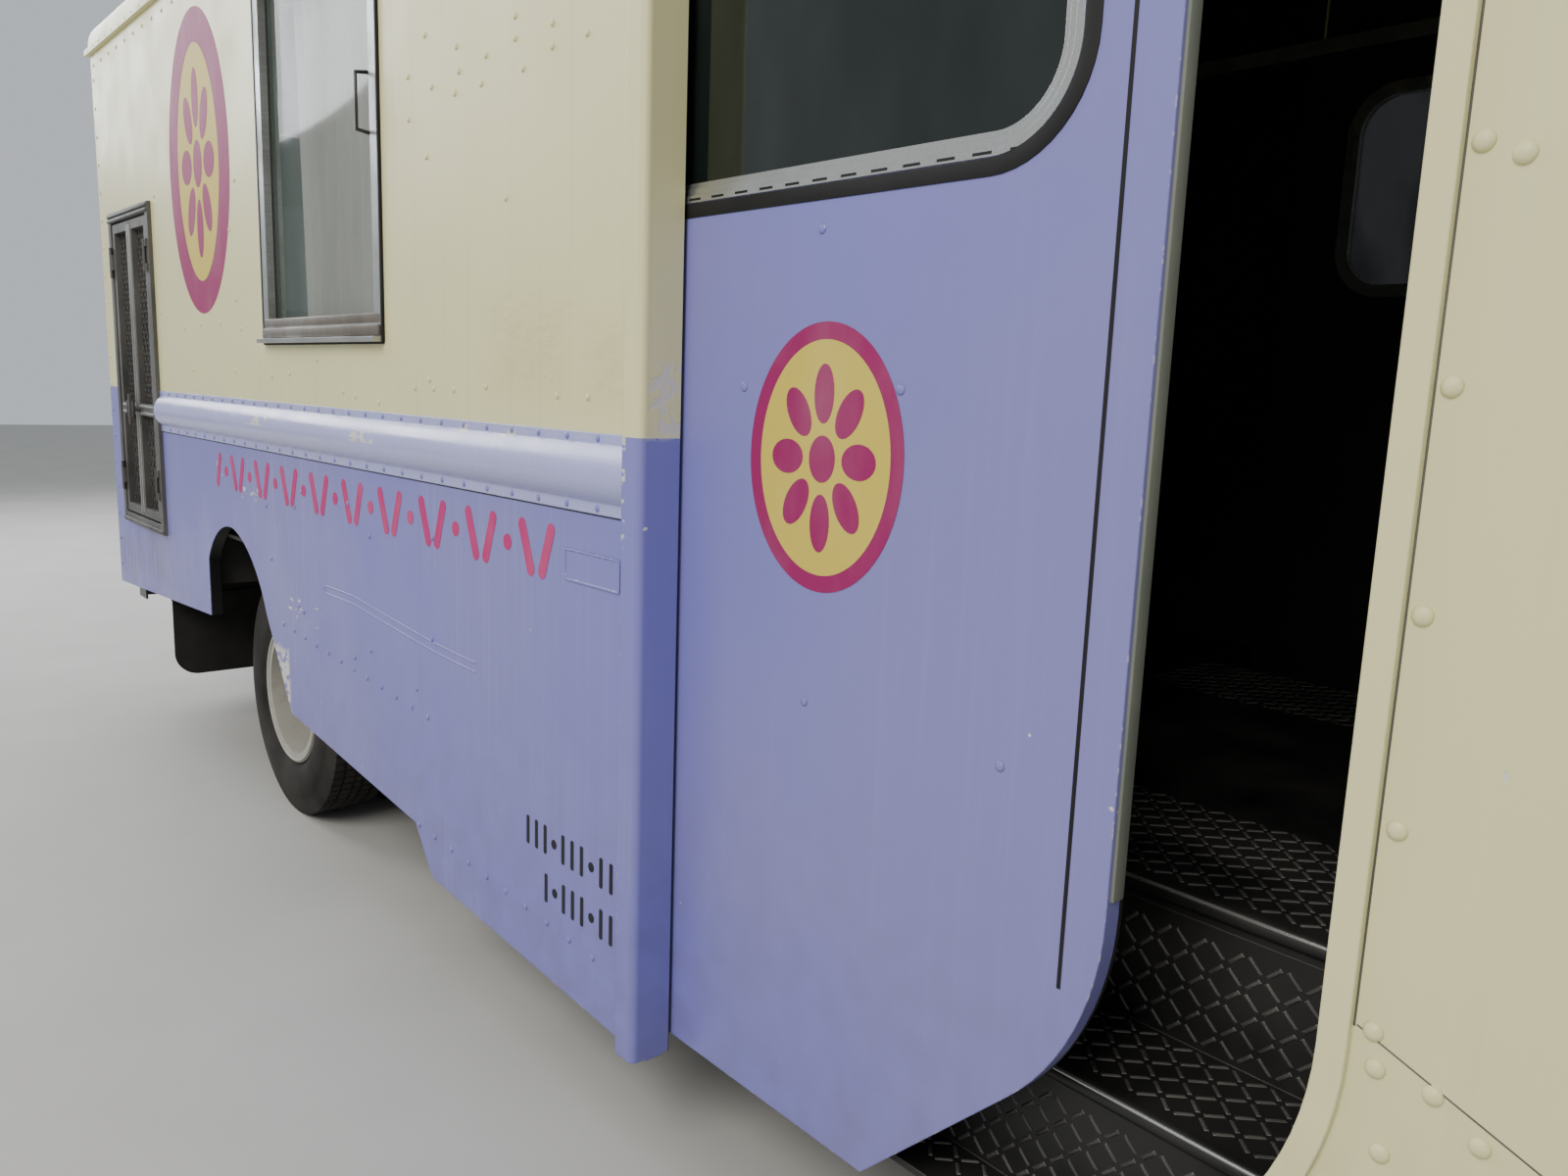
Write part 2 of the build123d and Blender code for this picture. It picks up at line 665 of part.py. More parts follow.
def doorway_edge(grow, shift, rear, low, x):
    """Doorway outline in the plane at x, let out by grow, moved rearwards by shift."""
    radius = doorway_corner_r + grow
    front = doorway_front_y - grow + shift
    top = doorway_top + grow
    turn_y, turn_z = front + radius, doorway_corner_z
    tip_y, tip_z = turn_y - radius * cos(radians(45)), turn_z - radius * sin(radians(45))
    mid = (turn_y - radius * cos(radians(22.5)), turn_z - radius * sin(radians(22.5)))
    small = doorway_top_r + grow
    bend = small * (1 - cos(radians(45)))
    with BuildSketch(side_face(x)) as outline:
        with BuildLine():
            Line((rear, top), (front + small, top))
            ThreePointArc((front + small, top), (front + bend, top - bend), (front, top - small))
            Line((front, top - small), (front, turn_z))
            ThreePointArc((front, turn_z), mid, (tip_y, tip_z))
            Polyline((tip_y, tip_z), (tip_y + tip_z - low, low), (rear, low), (rear, top))
        make_face()
    return outline.sketch


hood_low = nose_top_z - 90
hood_rear_y = cowl_y - 14
hood_pin_y = hood_rear_y - hood_gap / 2
slope = atan2(cowl_z - nose_top_z, cowl_y - nose_y)
hood_pin_z = cowl_z - (cowl_y - hood_pin_y) * (cowl_z - nose_top_z) / (cowl_y - nose_y)
hood_edge = Plane(origin=(0, hood_pin_y, hood_pin_z), x_dir=(1, 0, 0), z_dir=(0, -sin(slope), cos(slope)))
hood_pin_out = 9


def hood_hinge(fixed):
    """Barrels and straps over the gap behind the hood, on the cab's side or the hood's."""
    toward = 1 if fixed else -1
    with Locations(hood_edge):
        for x in (-400, 400):
            for way in (-1, 1) if fixed else (0,):
                length = barrel_end if fixed else 60
                mid = x + way * (30 + seat_gap + barrel_end / 2)
                with Locations((mid, 0, hood_pin_out)):
                    Cylinder(7, length, rotation=(0, 90, 0))
                with Locations((mid, toward * 4, hood_pin_out / 2)):
                    Box(length, 8, hood_pin_out)
                with Locations((mid, toward * 24, 1.5)):
                    Box(length, 40, 3)


cab_outer = cab_form(0, 0)
cab_space = cab_form(wall, 100)
hood_space = cab_form(hood_t, 100)
with BuildPart() as cab_shell:
    add(cab_outer)
    add(cab_space, mode=Mode.SUBTRACT)
    for side in (-1, 1):
        skin = side * (body_half + 50)
        extrude(doorway_edge(0, 0, doorway_rear_y + 10, 0, skin), amount=-side * 150, mode=Mode.SUBTRACT)
        trim_x = side * (body_half - wall)
        extrude(doorway_edge(doorway_trim_w, 0, doorway_rear_y, cab_low, trim_x),
                amount=side * (wall + doorway_trim_out))
        extrude(doorway_edge(0, 0, doorway_rear_y + 10, 0, skin), amount=-side * 150, mode=Mode.SUBTRACT)
        block((side * windshield[0] / 2, side * windshield[1]), (nose_y, visor_y + 60),
              (windshield_low, windshield_top), Mode.SUBTRACT)
        low, high = quarter_z
        with BuildSketch(side_face(skin)):
            with BuildLine():
                Polyline((quarter_y[0], low), (quarter_y[1], low), (quarter_y[1], high),
                         (quarter_y[0] + rake * (high - low), high), close=True)
            make_face()
            fillet(vertices(), 40)
        extrude(amount=-side * 150, mode=Mode.SUBTRACT)
        arch_z = axle_z + front_arch_up
        rod((side * (body_half - 60), front_axle_y, arch_z), (side * (body_half + 60), front_axle_y, arch_z),
            front_arch_r, Mode.SUBTRACT)
        rod((side * headlamp_x, nose_y - 5, headlamp_z), (side * headlamp_x, nose_y + wall + 5, headlamp_z),
            headlamp_r + 4, Mode.SUBTRACT)
    block((-hood_half, hood_half), (nose_y - 5, hood_rear_y), (hood_low, cowl_z + 5), Mode.SUBTRACT)
    block((-grille_half, grille_half), (nose_y - 5, nose_y + wall + 5), (grille_low, grille_top),
          Mode.SUBTRACT)
    block((-body_half, body_half), (nose_y - 5, front_axle_y - 200), (cab_low - 5, nose_low), Mode.SUBTRACT)
    hood_hinge(True)
save(cab_shell, "cab_shell")

# Hood: the lid over the nose, with a lip down to the grille panel
with BuildPart() as hood:
    add(cab_outer)
    add(hood_space, mode=Mode.SUBTRACT)
    block((-hood_half + hood_gap, hood_half - hood_gap), (nose_y - 5, hood_rear_y - hood_gap),
          (hood_low + hood_gap, cowl_z + 5), Mode.INTERSECT)
    hood_hinge(False)
save(hood, "hood")

# Grille: a frame in the nose with level bars
with BuildPart() as grille_panel:
    block((-grille_half, grille_half), (nose_y, nose_y + wall), (grille_low, grille_top))
    inner_x, low, high = grille_half - grille_rim, grille_low + grille_rim, grille_top - grille_rim
    block((-inner_x, inner_x), (nose_y - 5, nose_y + wall + 5), (low, high), Mode.SUBTRACT)
    pitch = (high - low) / grille_bars
    for i in range(grille_bars):
        z = low + (i + 0.5) * pitch
        block((-inner_x - 10, inner_x + 10), (nose_y + 4, nose_y + 30),
              (z - grille_bar_h / 2, z + grille_bar_h / 2))
    for x in (-grille_half / 2, 0, grille_half / 2):
        block((x - 10, x + 10), (nose_y + 8, nose_y + 34), (low - 10, high + 10))
save(grille_panel, "grille_panel")

with BuildPart() as headlamps:
    for side in (-1, 1):
        x = side * headlamp_x
        with BuildSketch(side_face(x)):
            with BuildLine():
                tip, rim = (nose_y - headlamp_out, headlamp_z), (nose_y, headlamp_z + headlamp_r)
                Line((nose_y + wall, headlamp_z), tip)
                ThreePointArc(tip, (nose_y - 0.73 * headlamp_out, headlamp_z + 0.54 * headlamp_r), rim)
                Polyline(rim, (nose_y, rim[1] + 4 - seat_gap), (nose_y + wall, rim[1] + 4 - seat_gap),
                         (nose_y + wall, headlamp_z))
            make_face()
        revolve(axis=Axis((x, 0, headlamp_z), (0, 1, 0)))
save(headlamps, "headlamps")

# Fixed glass of the cab: two panes in the raked front, one in each side ahead of the doorway
with BuildPart() as cab_glass:
    add(cab_form(wall / 2, 100))
    add(cab_form(wall / 2 + glass_t, 100), mode=Mode.SUBTRACT)
    edge = windshield[1] - seat_gap
    block((-edge, edge), (nose_y, visor_y + 60), (windshield_low + seat_gap, windshield_top - seat_gap),
          Mode.INTERSECT)
    edge = windshield[0] / 2 + seat_gap
    block((-edge, edge), (nose_y, 0), (windshield_low, windshield_top), Mode.SUBTRACT)
    low, high = quarter_z
    for side in (-1, 1):
        with BuildSketch(side_face(side * (body_half - wall / 2))):
            with BuildLine():
                Polyline((quarter_y[0], low), (quarter_y[1], low), (quarter_y[1], high),
                         (quarter_y[0] + rake * (high - low), high), close=True)
            make_face()
            fillet(vertices(), 40)
            offset(amount=-seat_gap)
        extrude(amount=-side * glass_t)
save(cab_glass, "cab_glass")


# Side walls: skin, post beside the doorway, wheel arch
post_up = 4                  # the post's foot above the skin's


def side_wall(side):
    """One side from the doorway to the rear wall."""
    with BuildPart() as panel:
        with BuildSketch(side_face(side * body_half)):
            shoulder, rise, crown, fall, back = [(rear_axle_y + y, z) for y, z in arch_points]
            with BuildLine():
                Polyline((back[0], tail_front_z), (rear_wall_y, tail_rear_z), (rear_wall_y, body_top),
                         (doorway_rear_y, body_top), (doorway_rear_y, skirt_low_front),
                         (skirt_rear_y, skirt_low_rear), (sill_front_y, sill_front_z),
                         (rear_axle_y - arch_front, sill_rear_z), shoulder)
                ThreePointArc(shoulder, rise, crown)
                ThreePointArc(crown, fall, back)
                Line(back, (back[0], tail_front_z))
            make_face()
        extrude(amount=-side * wall)
        with BuildSketch(Plane.XY.offset(skirt_low_front + post_up)) as post:
            with BuildLine():
                inner, outer, y = side * (body_half - post_w), side * (body_half + post_out), doorway_rear_y
                FilletPolyline((inner, y), (outer, y), (outer, y + post_w), radius=post_corner_r)
                Polyline((outer, y + post_w), (inner, y + post_w), (inner, y))
            make_face()
        extrude(post.sketch, amount=body_top - skirt_low_front - post_up)
        if side < 0:
            block((side * (body_half - 80), side * (body_half + 5)), (window_y, window_y + window_w),
                  (window_z, window_z + window_h), Mode.SUBTRACT)
            block((side * (body_half - 80), side * (body_half + 5)), (bay_y, bay_y + bay_w),
                  (bay_z, bay_z + bay_h), Mode.SUBTRACT)
    return panel


save(side_wall(-1), "side_wall_right")
save(side_wall(1), "side_wall_left")

# Belt mouldings: a half-round between two flat flanges, from the post to a rounded rear end
belt_start_y = doorway_rear_y + post_w
with BuildPart() as belt_mouldings:
    for side, rear in ((-1, bay_y), (1, belt_rear_y)):
        skin, face = side * body_half, side * (body_half + belt_flange)
        low, high = belt_low + belt_edges[0], belt_high - belt_edges[1]
        with BuildSketch(cross_face(belt_start_y)):
            with BuildLine():
                Polyline((face, high), (face, belt_high), (skin, belt_high), (skin, belt_low),
                         (face, belt_low), (face, low))
                ThreePointArc((face, low), (side * (body_half + belt_out), (low + high) / 2), (face, high))
            make_face()
        extrude(amount=belt_start_y - rear)
    ends = [e for e in belt_mouldings.edges() if e.geom_type == GeomType.CIRCLE and e.center().Y > 0]
    fillet(ends, belt_end_r)
save(belt_mouldings, "belt_mouldings")

# Roof: one crowned skin with round edges over the walls, and the drip rails
with BuildPart() as roof:
    for inset, mode in ((0, Mode.ADD), (wall, Mode.SUBTRACT)):
        half, top, low = body_half - inset, roof_top - inset, body_top - inset
        front, rear = roof_front_y + inset, body_end - inset
        with BuildSketch(cross_face(front)):
            with BuildLine():
                FilletPolyline((-half, low), (-half, top - 30), (0, top), (half, top - 30), (half, low),
                               radius=[roof_edge_r - inset, 2000, roof_edge_r - inset])
                Line((-half, low), (half, low))
            make_face()
        extrude(amount=front - rear, mode=mode)
        if mode == Mode.ADD:
            fillet([e for e in roof.edges() if abs(e.center().Y - front) < 1 and e.center().Z > low + 1], 60)
    for side in (-1, 1):
        block((side * body_half, side * (body_half + drip_out)), (visor_y, body_end),
              (body_top, body_top + drip_h))
    x, y, width, height = roof_vent
    for grow, low, high in ((-30, -wall / 2, height / 2), (0, height / 2, height)):
        with BuildSketch(Plane.XY.offset(roof_top + low)) as lid:
            with Locations((x, y)):
                RectangleRounded(width + grow, width + grow, 40)
        extrude(lid.sketch, amount=high - low)
    chamfer(roof.faces().sort_by(Axis.Z)[-1].edges(), 12)
save(roof, "roof")

# Rear wall with its doorway, round at the outer corners
rear_hinge_zs = (rear_doorway_low + 210, (rear_doorway_low + rear_doorway_top) / 2, rear_doorway_top - 210)
with BuildPart() as rear_wall:
    block((-body_half, body_half), (rear_wall_y, body_end), (tail_rear_z, body_top))
    fillet([e for e in rear_wall.edges().filter_by(Axis.Z) if e.center().Y > rear_wall_y + 1], corner_r)
    block((-rear_doorway_half, rear_doorway_half), (rear_wall_y - 5, body_end + 5),
          (rear_doorway_low, rear_doorway_top), Mode.SUBTRACT)
    for side in (-1, 1):
        axis_x = side * (rear_doorway_half - rear_door_gap / 2)
        for z in rear_hinge_zs:
            barrels(axis_x, body_end + hinge_out, z, hinge_half, hinge_r, True)
            for way in (-1, 1):
                near, far = hinge_half + seat_gap, hinge_half + seat_gap + barrel_end
                block((axis_x, axis_x + side * 60), (body_end, body_end + hinge_out - 4),
                      (z + way * near, z + way * far))
save(rear_wall, "rear_wall")


# Rear doors and their glass; the curb side's is the right one
for side, name in ((-1, "right"), (1, "left")):
    near, far = side * rear_door_gap / 2, side * (rear_doorway_half - rear_door_gap)
    low, high = rear_doorway_low + rear_door_gap, rear_doorway_top - rear_door_gap
    width, height, radius = rear_window
    x, z = side * rear_doorway_half / 2, rear_window_z + height / 2
    with BuildPart() as rear_door:
        block((near, far), (rear_wall_y, body_end), (low, high))
        with BuildSketch(cross_face(body_end)):
            with Locations((x, z)):
                RectangleRounded(width, height, radius)
        extrude(amount=wall, mode=Mode.SUBTRACT)
        axis_x = side * (rear_doorway_half - rear_door_gap / 2)
        for hinge_z in rear_hinge_zs:
            barrels(axis_x, body_end + hinge_out, hinge_z, hinge_half, hinge_r, False)
            ends = (hinge_z - 30, hinge_z + 30)
            block((axis_x, side * (rear_doorway_half - 160)), (body_end, body_end + hinge_out - 4), ends)
            block((axis_x - 7, axis_x + 7), (body_end + 6, body_end + hinge_out), ends)
        if side < 0:
            rod((side * 70, body_end, handle_z), (side * 70, body_end + 45, handle_z), 12)
            block((side * 55, side * 210), (body_end + 36, body_end + 52), (handle_z - 12, handle_z + 12))
    save(rear_door, f"rear_door_{name}")
    with BuildPart() as rear_glass:
        with BuildSketch(cross_face(body_end - wall / 2)):
            with Locations((x, z)):
                RectangleRounded(width - 2 * seat_gap, height - 2 * seat_gap, radius - seat_gap)
        extrude(amount=-glass_t)
    save(rear_glass, f"rear_glass_{name}")


# Sliding doors on their top tracks, with a round-cornered window
for side, name in ((-1, "right"), (1, "left")):
    shift = door_open if side < 0 else 0
    face = side * door_plane
    length, height, radius = door_window
    front = door_closed_front + shift
    mid_y, mid_z = front + door_window_from_front + length / 2, door_window_low + height / 2
    with BuildPart() as sliding_door:
        outline = doorway_edge(door_lap, shift, door_closed_rear + shift, door_low, face)
        extrude(outline, amount=-side * door_t)
        pane(face - side * door_t / 2 - wall, mid_y, mid_z, length, height, radius, 2 * wall, Mode.SUBTRACT)
        inner, grip_y = side * (door_plane - door_t), front + grip_from_front
        rod((inner - side * grip_in, grip_y, grip_z[0]), (inner - side * grip_in, grip_y, grip_z[1]), grip_r)
        for z in (grip_z[0] + grip_r, grip_z[1] - grip_r):
            rod((inner, grip_y, z), (inner - side * grip_in, grip_y, z), grip_r)
    save(sliding_door, f"sliding_door_{name}")
    with BuildPart() as sliding_sash:
        for outer_edge, inner_edge, back in sash_steps:
            with BuildSketch(side_face(face - side * back)) as ring:
                with Locations((mid_y, mid_z)):
                    RectangleRounded(length - 2 * outer_edge, height - 2 * outer_edge, radius - outer_edge)
                    RectangleRounded(length - 2 * inner_edge, height - 2 * inner_edge, radius - inner_edge,
                                     mode=Mode.SUBTRACT)
            extrude(ring.sketch, amount=-side * (door_t - back))
    save(sliding_sash, f"sliding_sash_{name}")
    with BuildPart() as sliding_glass:
        edge = sash_w + seat_gap
        pane(side * (door_plane - door_t / 2) - glass_t / 2, mid_y, mid_z, length - 2 * edge,
             height - 2 * edge, radius - edge, glass_t)
    save(sliding_glass, f"sliding_glass_{name}")

with BuildPart() as door_tracks:
    for side in (-1, 1):
        outer = side * (body_half - wall)
        block((outer, side * (door_plane - door_t - 10)),
              (doorway_front_y - doorway_trim_w, pocket_end_y - 40),
              (door_top_z + seat_gap, door_top_z + seat_gap + track_h))
        block((outer, side * (body_half - post_w)), (doorway_rear_y, doorway_rear_y + post_w),
              (door_top_z, door_top_z + 2 * track_h), Mode.SUBTRACT)
save(door_tracks, "door_tracks")

# Serving window: a frame with two stiles, its pane, and the curtain's rail
with BuildPart() as serving_window:
    outer, inner = -(body_half + window_frame_out), -(body_half - wall - 4)
    y0, y1, z0, z1 = window_y, window_y + window_w, window_z, window_z + window_h
    block((outer, inner), (y0, y1), (z0, z1))
    block((outer - 5, inner + 5), (y0 + window_frame, y1 - window_frame),
          (z0 + window_frame, z1 - window_frame), Mode.SUBTRACT)
    block((outer - 22, outer), (y0, y1), (z0, z0 + 12))
    curtain_x, curtain_top = -(body_half - wall - 45), z1 - 70
    rod((curtain_x, y0 + 12, curtain_top), (curtain_x, y1 - 12, curtain_top), curtain_rod_r)
    for y in (y0 + 18, y1 - 28):
        block((inner, curtain_x + curtain_rod_r), (y, y + 10), (curtain_top - 9, curtain_top + 9))
save(serving_window, "serving_window")

with BuildPart() as serving_glass:
    edge = window_frame + seat_gap
    block((-(body_half - pane_in), -(body_half - pane_in - glass_t)), (y0 + edge, y1 - edge),
          (z0 + edge, z1 - edge))
save(serving_glass, "serving_glass")

with BuildPart() as curtain:
    block((curtain_x - curtain_t / 2, curtain_x + curtain_t / 2), (y0 + 40, y0 + 40 + curtain_w),
          (z0 + 20, curtain_top - curtain_rod_r - seat_gap))
save(curtain, "curtain")

# Mesh bay: rim and liner in the side wall, closed by two leaves that swing out
bay_end, bay_top = bay_y + bay_w, bay_z + bay_h
mesh_hinge_zs = (bay_z + 190, bay_top - 190)
with BuildPart() as mesh_bay:
    outer, inner = -(body_half + bay_rim_out), -(body_half - wall - 5)
    deep = -(body_half - bay_depth)
    block((outer, inner), (bay_y, bay_end), (bay_z, bay_top))
    block((inner, deep), (bay_y, bay_end), (bay_z, bay_top))
    block((outer - 5, inner), (bay_y + bay_rim, bay_end - bay_rim), (bay_z + bay_rim, bay_top - bay_rim),
          Mode.SUBTRACT)
    block((inner - 1, deep - bay_sheet), (bay_y + bay_sheet, bay_end - bay_sheet),
          (bay_z + bay_sheet, bay_top - bay_sheet), Mode.SUBTRACT)
    pin_x = outer - mesh_hinge_out
    pin_in = bay_rim + leaf_gap / 2
    for pin_y, edge_y in ((bay_y + pin_in, bay_y + 20), (bay_end - pin_in, bay_end - 20)):
        for z in mesh_hinge_zs:
            barrels(pin_x, pin_y, z, mesh_hinge_half, mesh_hinge_r, True)
            for way in (-1, 1):
                near, far = mesh_hinge_half + seat_gap, mesh_hinge_half + seat_gap + barrel_end
                block((pin_x, outer), (pin_y, edge_y), (z + way * near, z + way * far))
save(mesh_bay, "mesh_bay")

mesh_leaf_w = (bay_w - 2 * bay_rim - 3 * leaf_gap) / 2
leaf_low, leaf_top = bay_z + bay_rim + leaf_gap, bay_top - bay_rim - leaf_gap
leaf_out = -(body_half + bay_rim_out - 4)
across = mesh_pitch[0] * mesh_pitch[1] / (mesh_pitch[0] ** 2 + mesh_pitch[1] ** 2) ** 0.5
diamond = [p / 2 * (1 - mesh_strand / across) for p in mesh_pitch]       # half width and height of one hole
rear_leaf_y = bay_end - bay_rim - leaf_gap - mesh_leaf_w
for name, y0, hinge_end in (("front", bay_y + bay_rim + leaf_gap, 0), ("rear", rear_leaf_y, 1)):
    with BuildPart() as mesh_door:
        block((leaf_out, leaf_out + leaf_t), (y0, y0 + mesh_leaf_w), (leaf_low, leaf_top))
        for z0, z1 in ((leaf_low + leaf_bar, leaf_rail_z[0]), (leaf_rail_z[1], leaf_top - leaf_bar)):
            wide, high = mesh_leaf_w - 2 * leaf_bar, z1 - z0
            block((leaf_out - 5, leaf_out + leaf_t - mesh_t), (y0 + leaf_bar, y0 + leaf_bar + wide), (z0, z1),
                  Mode.SUBTRACT)
            with BuildSketch(side_face(leaf_out + leaf_t - mesh_t)) as diamonds:
                with Locations((y0 + mesh_leaf_w / 2, (z0 + z1) / 2)):
                    for more in (0, 1):
                        with GridLocations(*mesh_pitch, round(wide / mesh_pitch[0]) + more,
                                           round(high / mesh_pitch[1]) + more):
                            Polygon((-diamond[0], 0), (0, -diamond[1]), (diamond[0], 0), (0, diamond[1]))
                    Rectangle(wide, high, mode=Mode.INTERSECT)
            extrude(diamonds.sketch, amount=mesh_t, mode=Mode.SUBTRACT)
        pin_y = y0 + mesh_leaf_w + leaf_gap / 2 if hinge_end else y0 - leaf_gap / 2
        for z in mesh_hinge_zs:
            barrels(pin_x, pin_y, z, mesh_hinge_half, mesh_hinge_r, False)
            inner_y = pin_y - 16 if hinge_end else pin_y + 16
            block((pin_x, leaf_out), (pin_y, inner_y), (z - mesh_hinge_half, z + mesh_hinge_half))
        if not hinge_end:
            y, z = y0 + mesh_leaf_w - leaf_bar / 2, sum(leaf_rail_z) / 2
            rod((leaf_out, y, z), (leaf_out - 34, y, z), 8)
            block((leaf_out - 38, leaf_out - 26), (y - 8, y + 8), (z - 58, z + 58))
    save(mesh_door, f"mesh_door_{name}")

# Bumpers: folded channels on brackets from the rails' ends
with BuildPart() as front_bumper:
    low, high = front_bumper_z
    face = front_bumper_y
    block((-front_bumper_half, front_bumper_half), (face, face + front_bumper_d), (low, high))
    fillet([e for e in front_bumper.edges().filter_by(Axis.Z) if e.center().Y < face + 1], 60)
    block((-front_bumper_half + 20, front_bumper_half - 20), (face + bumper_t, face + front_bumper_d + 10),
          (low + bumper_t, high - bumper_t), Mode.SUBTRACT)
    for side in (-1, 1):
        block((side * (rail_x - 5), side * (rail_x + rail_w / 2)), (face + bumper_t, rail_front_y),
              (low + 80, high - 20))
    for x in (-plate_hole_pitch / 2, plate_hole_pitch / 2):
        rod((x, face - 5, front_plate_z), (x, face + 20, front_plate_z), plate_hole_r, Mode.SUBTRACT)
save(front_bumper, "front_bumper")

with BuildPart() as rear_bumper:
    low, high = rear_bumper_z
    face = rear_bumper_y
    block((-rear_bumper_half, rear_bumper_half), (face - rear_bumper_d, face), (low, high))
    inner_x = rear_bumper_half - bumper_t
    block((-inner_x, inner_x), (face - rear_bumper_d - 10, face - bumper_t), (low - 5, high - bumper_t),
          Mode.SUBTRACT)
    for side in (-1, 1):
        block((side * (rail_x - 20), side * (rail_x + 20)), (rail_rear_y, face - bumper_t),
              (rail_low, tail_rear_z - 4))
    rod((0, face - hitch_in, high - 3 * bumper_t), (0, face - hitch_in, high + 5), hitch_r, Mode.SUBTRACT)
    for x in (-plate_hole_pitch / 2, plate_hole_pitch / 2):
        rod((x, face - 20, rear_plate_z), (x, face + 5, rear_plate_z), plate_hole_r, Mode.SUBTRACT)
save(rear_bumper, "rear_bumper")

# Lamps: markers along the head, turn signals over the headlamps, tail lamps
marker_xs, marker_r, marker_out, marker_below = (-900, -160, 0, 160, 900), 24, 22, 60
turn_r, turn_up = 44, 165
tail_x, tail_zs, tail_r = 930, (980, 1110), 54
lamp_out = 24
with BuildPart() as clearance_lamps:
    z = body_top - marker_below
    y = visor_y - rake * marker_below
    for x in marker_xs:
        rod((x, y, z), (x, y - marker_out, z + marker_out * rake), marker_r)
    z = headlamp_z + turn_up
    for side in (-1, 1):
        rod((side * headlamp_x, nose_y, z), (side * headlamp_x, nose_y - lamp_out, z), turn_r)
save(clearance_lamps, "clearance_lamps")

with BuildPart() as tail_lamps:
    for side in (-1, 1):
        for z in tail_zs:
            rod((side * tail_x, body_end, z), (side * tail_x, body_end + lamp_out, z), tail_r)
    z = body_top - marker_below
    for x in marker_xs:
        rod((x, body_end, z), (x, body_end + marker_out, z), marker_r)
save(tail_lamps, "tail_lamps")

# Mud flaps on bars from the rails
flap_y, flap_t, flap_inner_x, flap_z = 2600, 8, 560, (240, 545)
with BuildPart() as mud_flaps:
    for side in (-1, 1):
        near, far = side * (rail_x + rail_w / 2), side * (body_half - wall - 1)
        low, high = flap_z
        block((near, far), (flap_y - 14, flap_y + 14), (high, high + 28))
        with BuildSketch(cross_face(flap_y - flap_t / 2)):
            with BuildLine():
                Polyline((far, high), (side * flap_inner_x, high), (side * flap_inner_x, low),
                         (far - side * 90, low))
                ThreePointArc((far - side * 90, low), (far - side * 26, low + 26), (far, low + 90))
                Line((far, low + 90), (far, high))
            make_face()
        extrude(amount=-flap_t)
save(mud_flaps, "mud_flaps")

# Mirrors on tube arms: the tall flat one and the small round-faced one under it
mirror_heads = ((1770, 400), (1490, 120))       # middle height, size
mirror_out, mirror_foot_y = 190, -2700
mirror_arm_zs, mirror_arm_r = (1480, 1990), 11
with BuildPart() as mirrors:
    for side in (-1, 1):
        post = (side * (body_half + mirror_out), mirror_foot_y - 160)
        for z in mirror_arm_zs:
            block((side * body_half, side * (body_half + 20)), (mirror_foot_y - 30, mirror_foot_y + 30),
                  (z - 30, z + 30))
            rod((side * (body_half + 14), mirror_foot_y, z), (post[0], post[1], z), mirror_arm_r)
        low, high = mirror_arm_zs[0] - 40, mirror_arm_zs[1] + 40
        rod((post[0], post[1], low), (post[0], post[1], high), mirror_arm_r)
        for z, height in mirror_heads:
            with BuildSketch(cross_face(post[1] - 36)) as head:
                with Locations((post[0] + side * 10, z)):
                    RectangleRounded(190, height, 40)
            extrude(head.sketch, amount=-42)
save(mirrors, "mirrors")

# Dash with the firewall under it, and the engine's cover
with BuildPart() as dashboard:
    block((-inner_half, inner_half), (deck_front_y - 15, deck_front_y), (floor_top, dash_top))
    for side in (-1, 1):
        block((side * wheelhouse_inner_x, side * inner_half), (deck_front_y - 20, deck_front_y + 5),
              (floor_low, house_top), Mode.SUBTRACT)
    block((-cover_half, cover_half), (deck_front_y - 20, deck_front_y + 5), (floor_low, cover_top),
          Mode.SUBTRACT)
    with BuildSketch(side_face(-inner_half)):
        with BuildLine():
            Polyline((deck_front_y, dash_top), (deck_front_y + dash_d - 15, dash_top - 40),
                     (deck_front_y + dash_d, dash_low), (deck_front_y, dash_low), close=True)
        make_face()
    extrude(amount=2 * inner_half)
    wide, deep, high = binnacle
    with BuildSketch(cross_face(deck_front_y)) as hood_form:
        with Locations((seat_x, dash_top)):
            RectangleRounded(wide, 2 * high, 60)
    extrude(hood_form.sketch, amount=-deep)
save(dashboard, "dashboard")

with BuildPart() as engine_cover:
    block((-cover_half, cover_half), (deck_front_y - 15, cover_rear_y), (floor_top, cover_top))
    fillet(engine_cover.edges().filter_by(Axis.Y).group_by(Axis.Z)[-1], cover_r)
    fillet(engine_cover.edges().filter_by(Axis.Z).group_by(Axis.Y)[-1], cover_r)
    block((-cover_half + cover_t, cover_half - cover_t), (deck_front_y - 20, cover_rear_y - cover_t),
          (floor_top - 5, cover_top - cover_t), Mode.SUBTRACT)
save(engine_cover, "engine_cover")

# Driver's seat and steering wheel
with BuildPart() as driver_seat:
    z = seat_z - cushion_h
    half, rear = seat_w / 2, seat_y + seat_d / 2
    block((seat_x - 150, seat_x + 150), (seat_y - 150, seat_y + 150), (floor_top, z - pan_t))
    block((seat_x - half + 10, seat_x + half - 10), (seat_y - seat_d / 2 + 10, rear + 30), (z - pan_t, z))
    block((seat_x - half + 60, seat_x + half - 60), (rear + pan_t, rear + 30), (z, seat_z + back_h - 80))
save(driver_seat, "driver_seat")

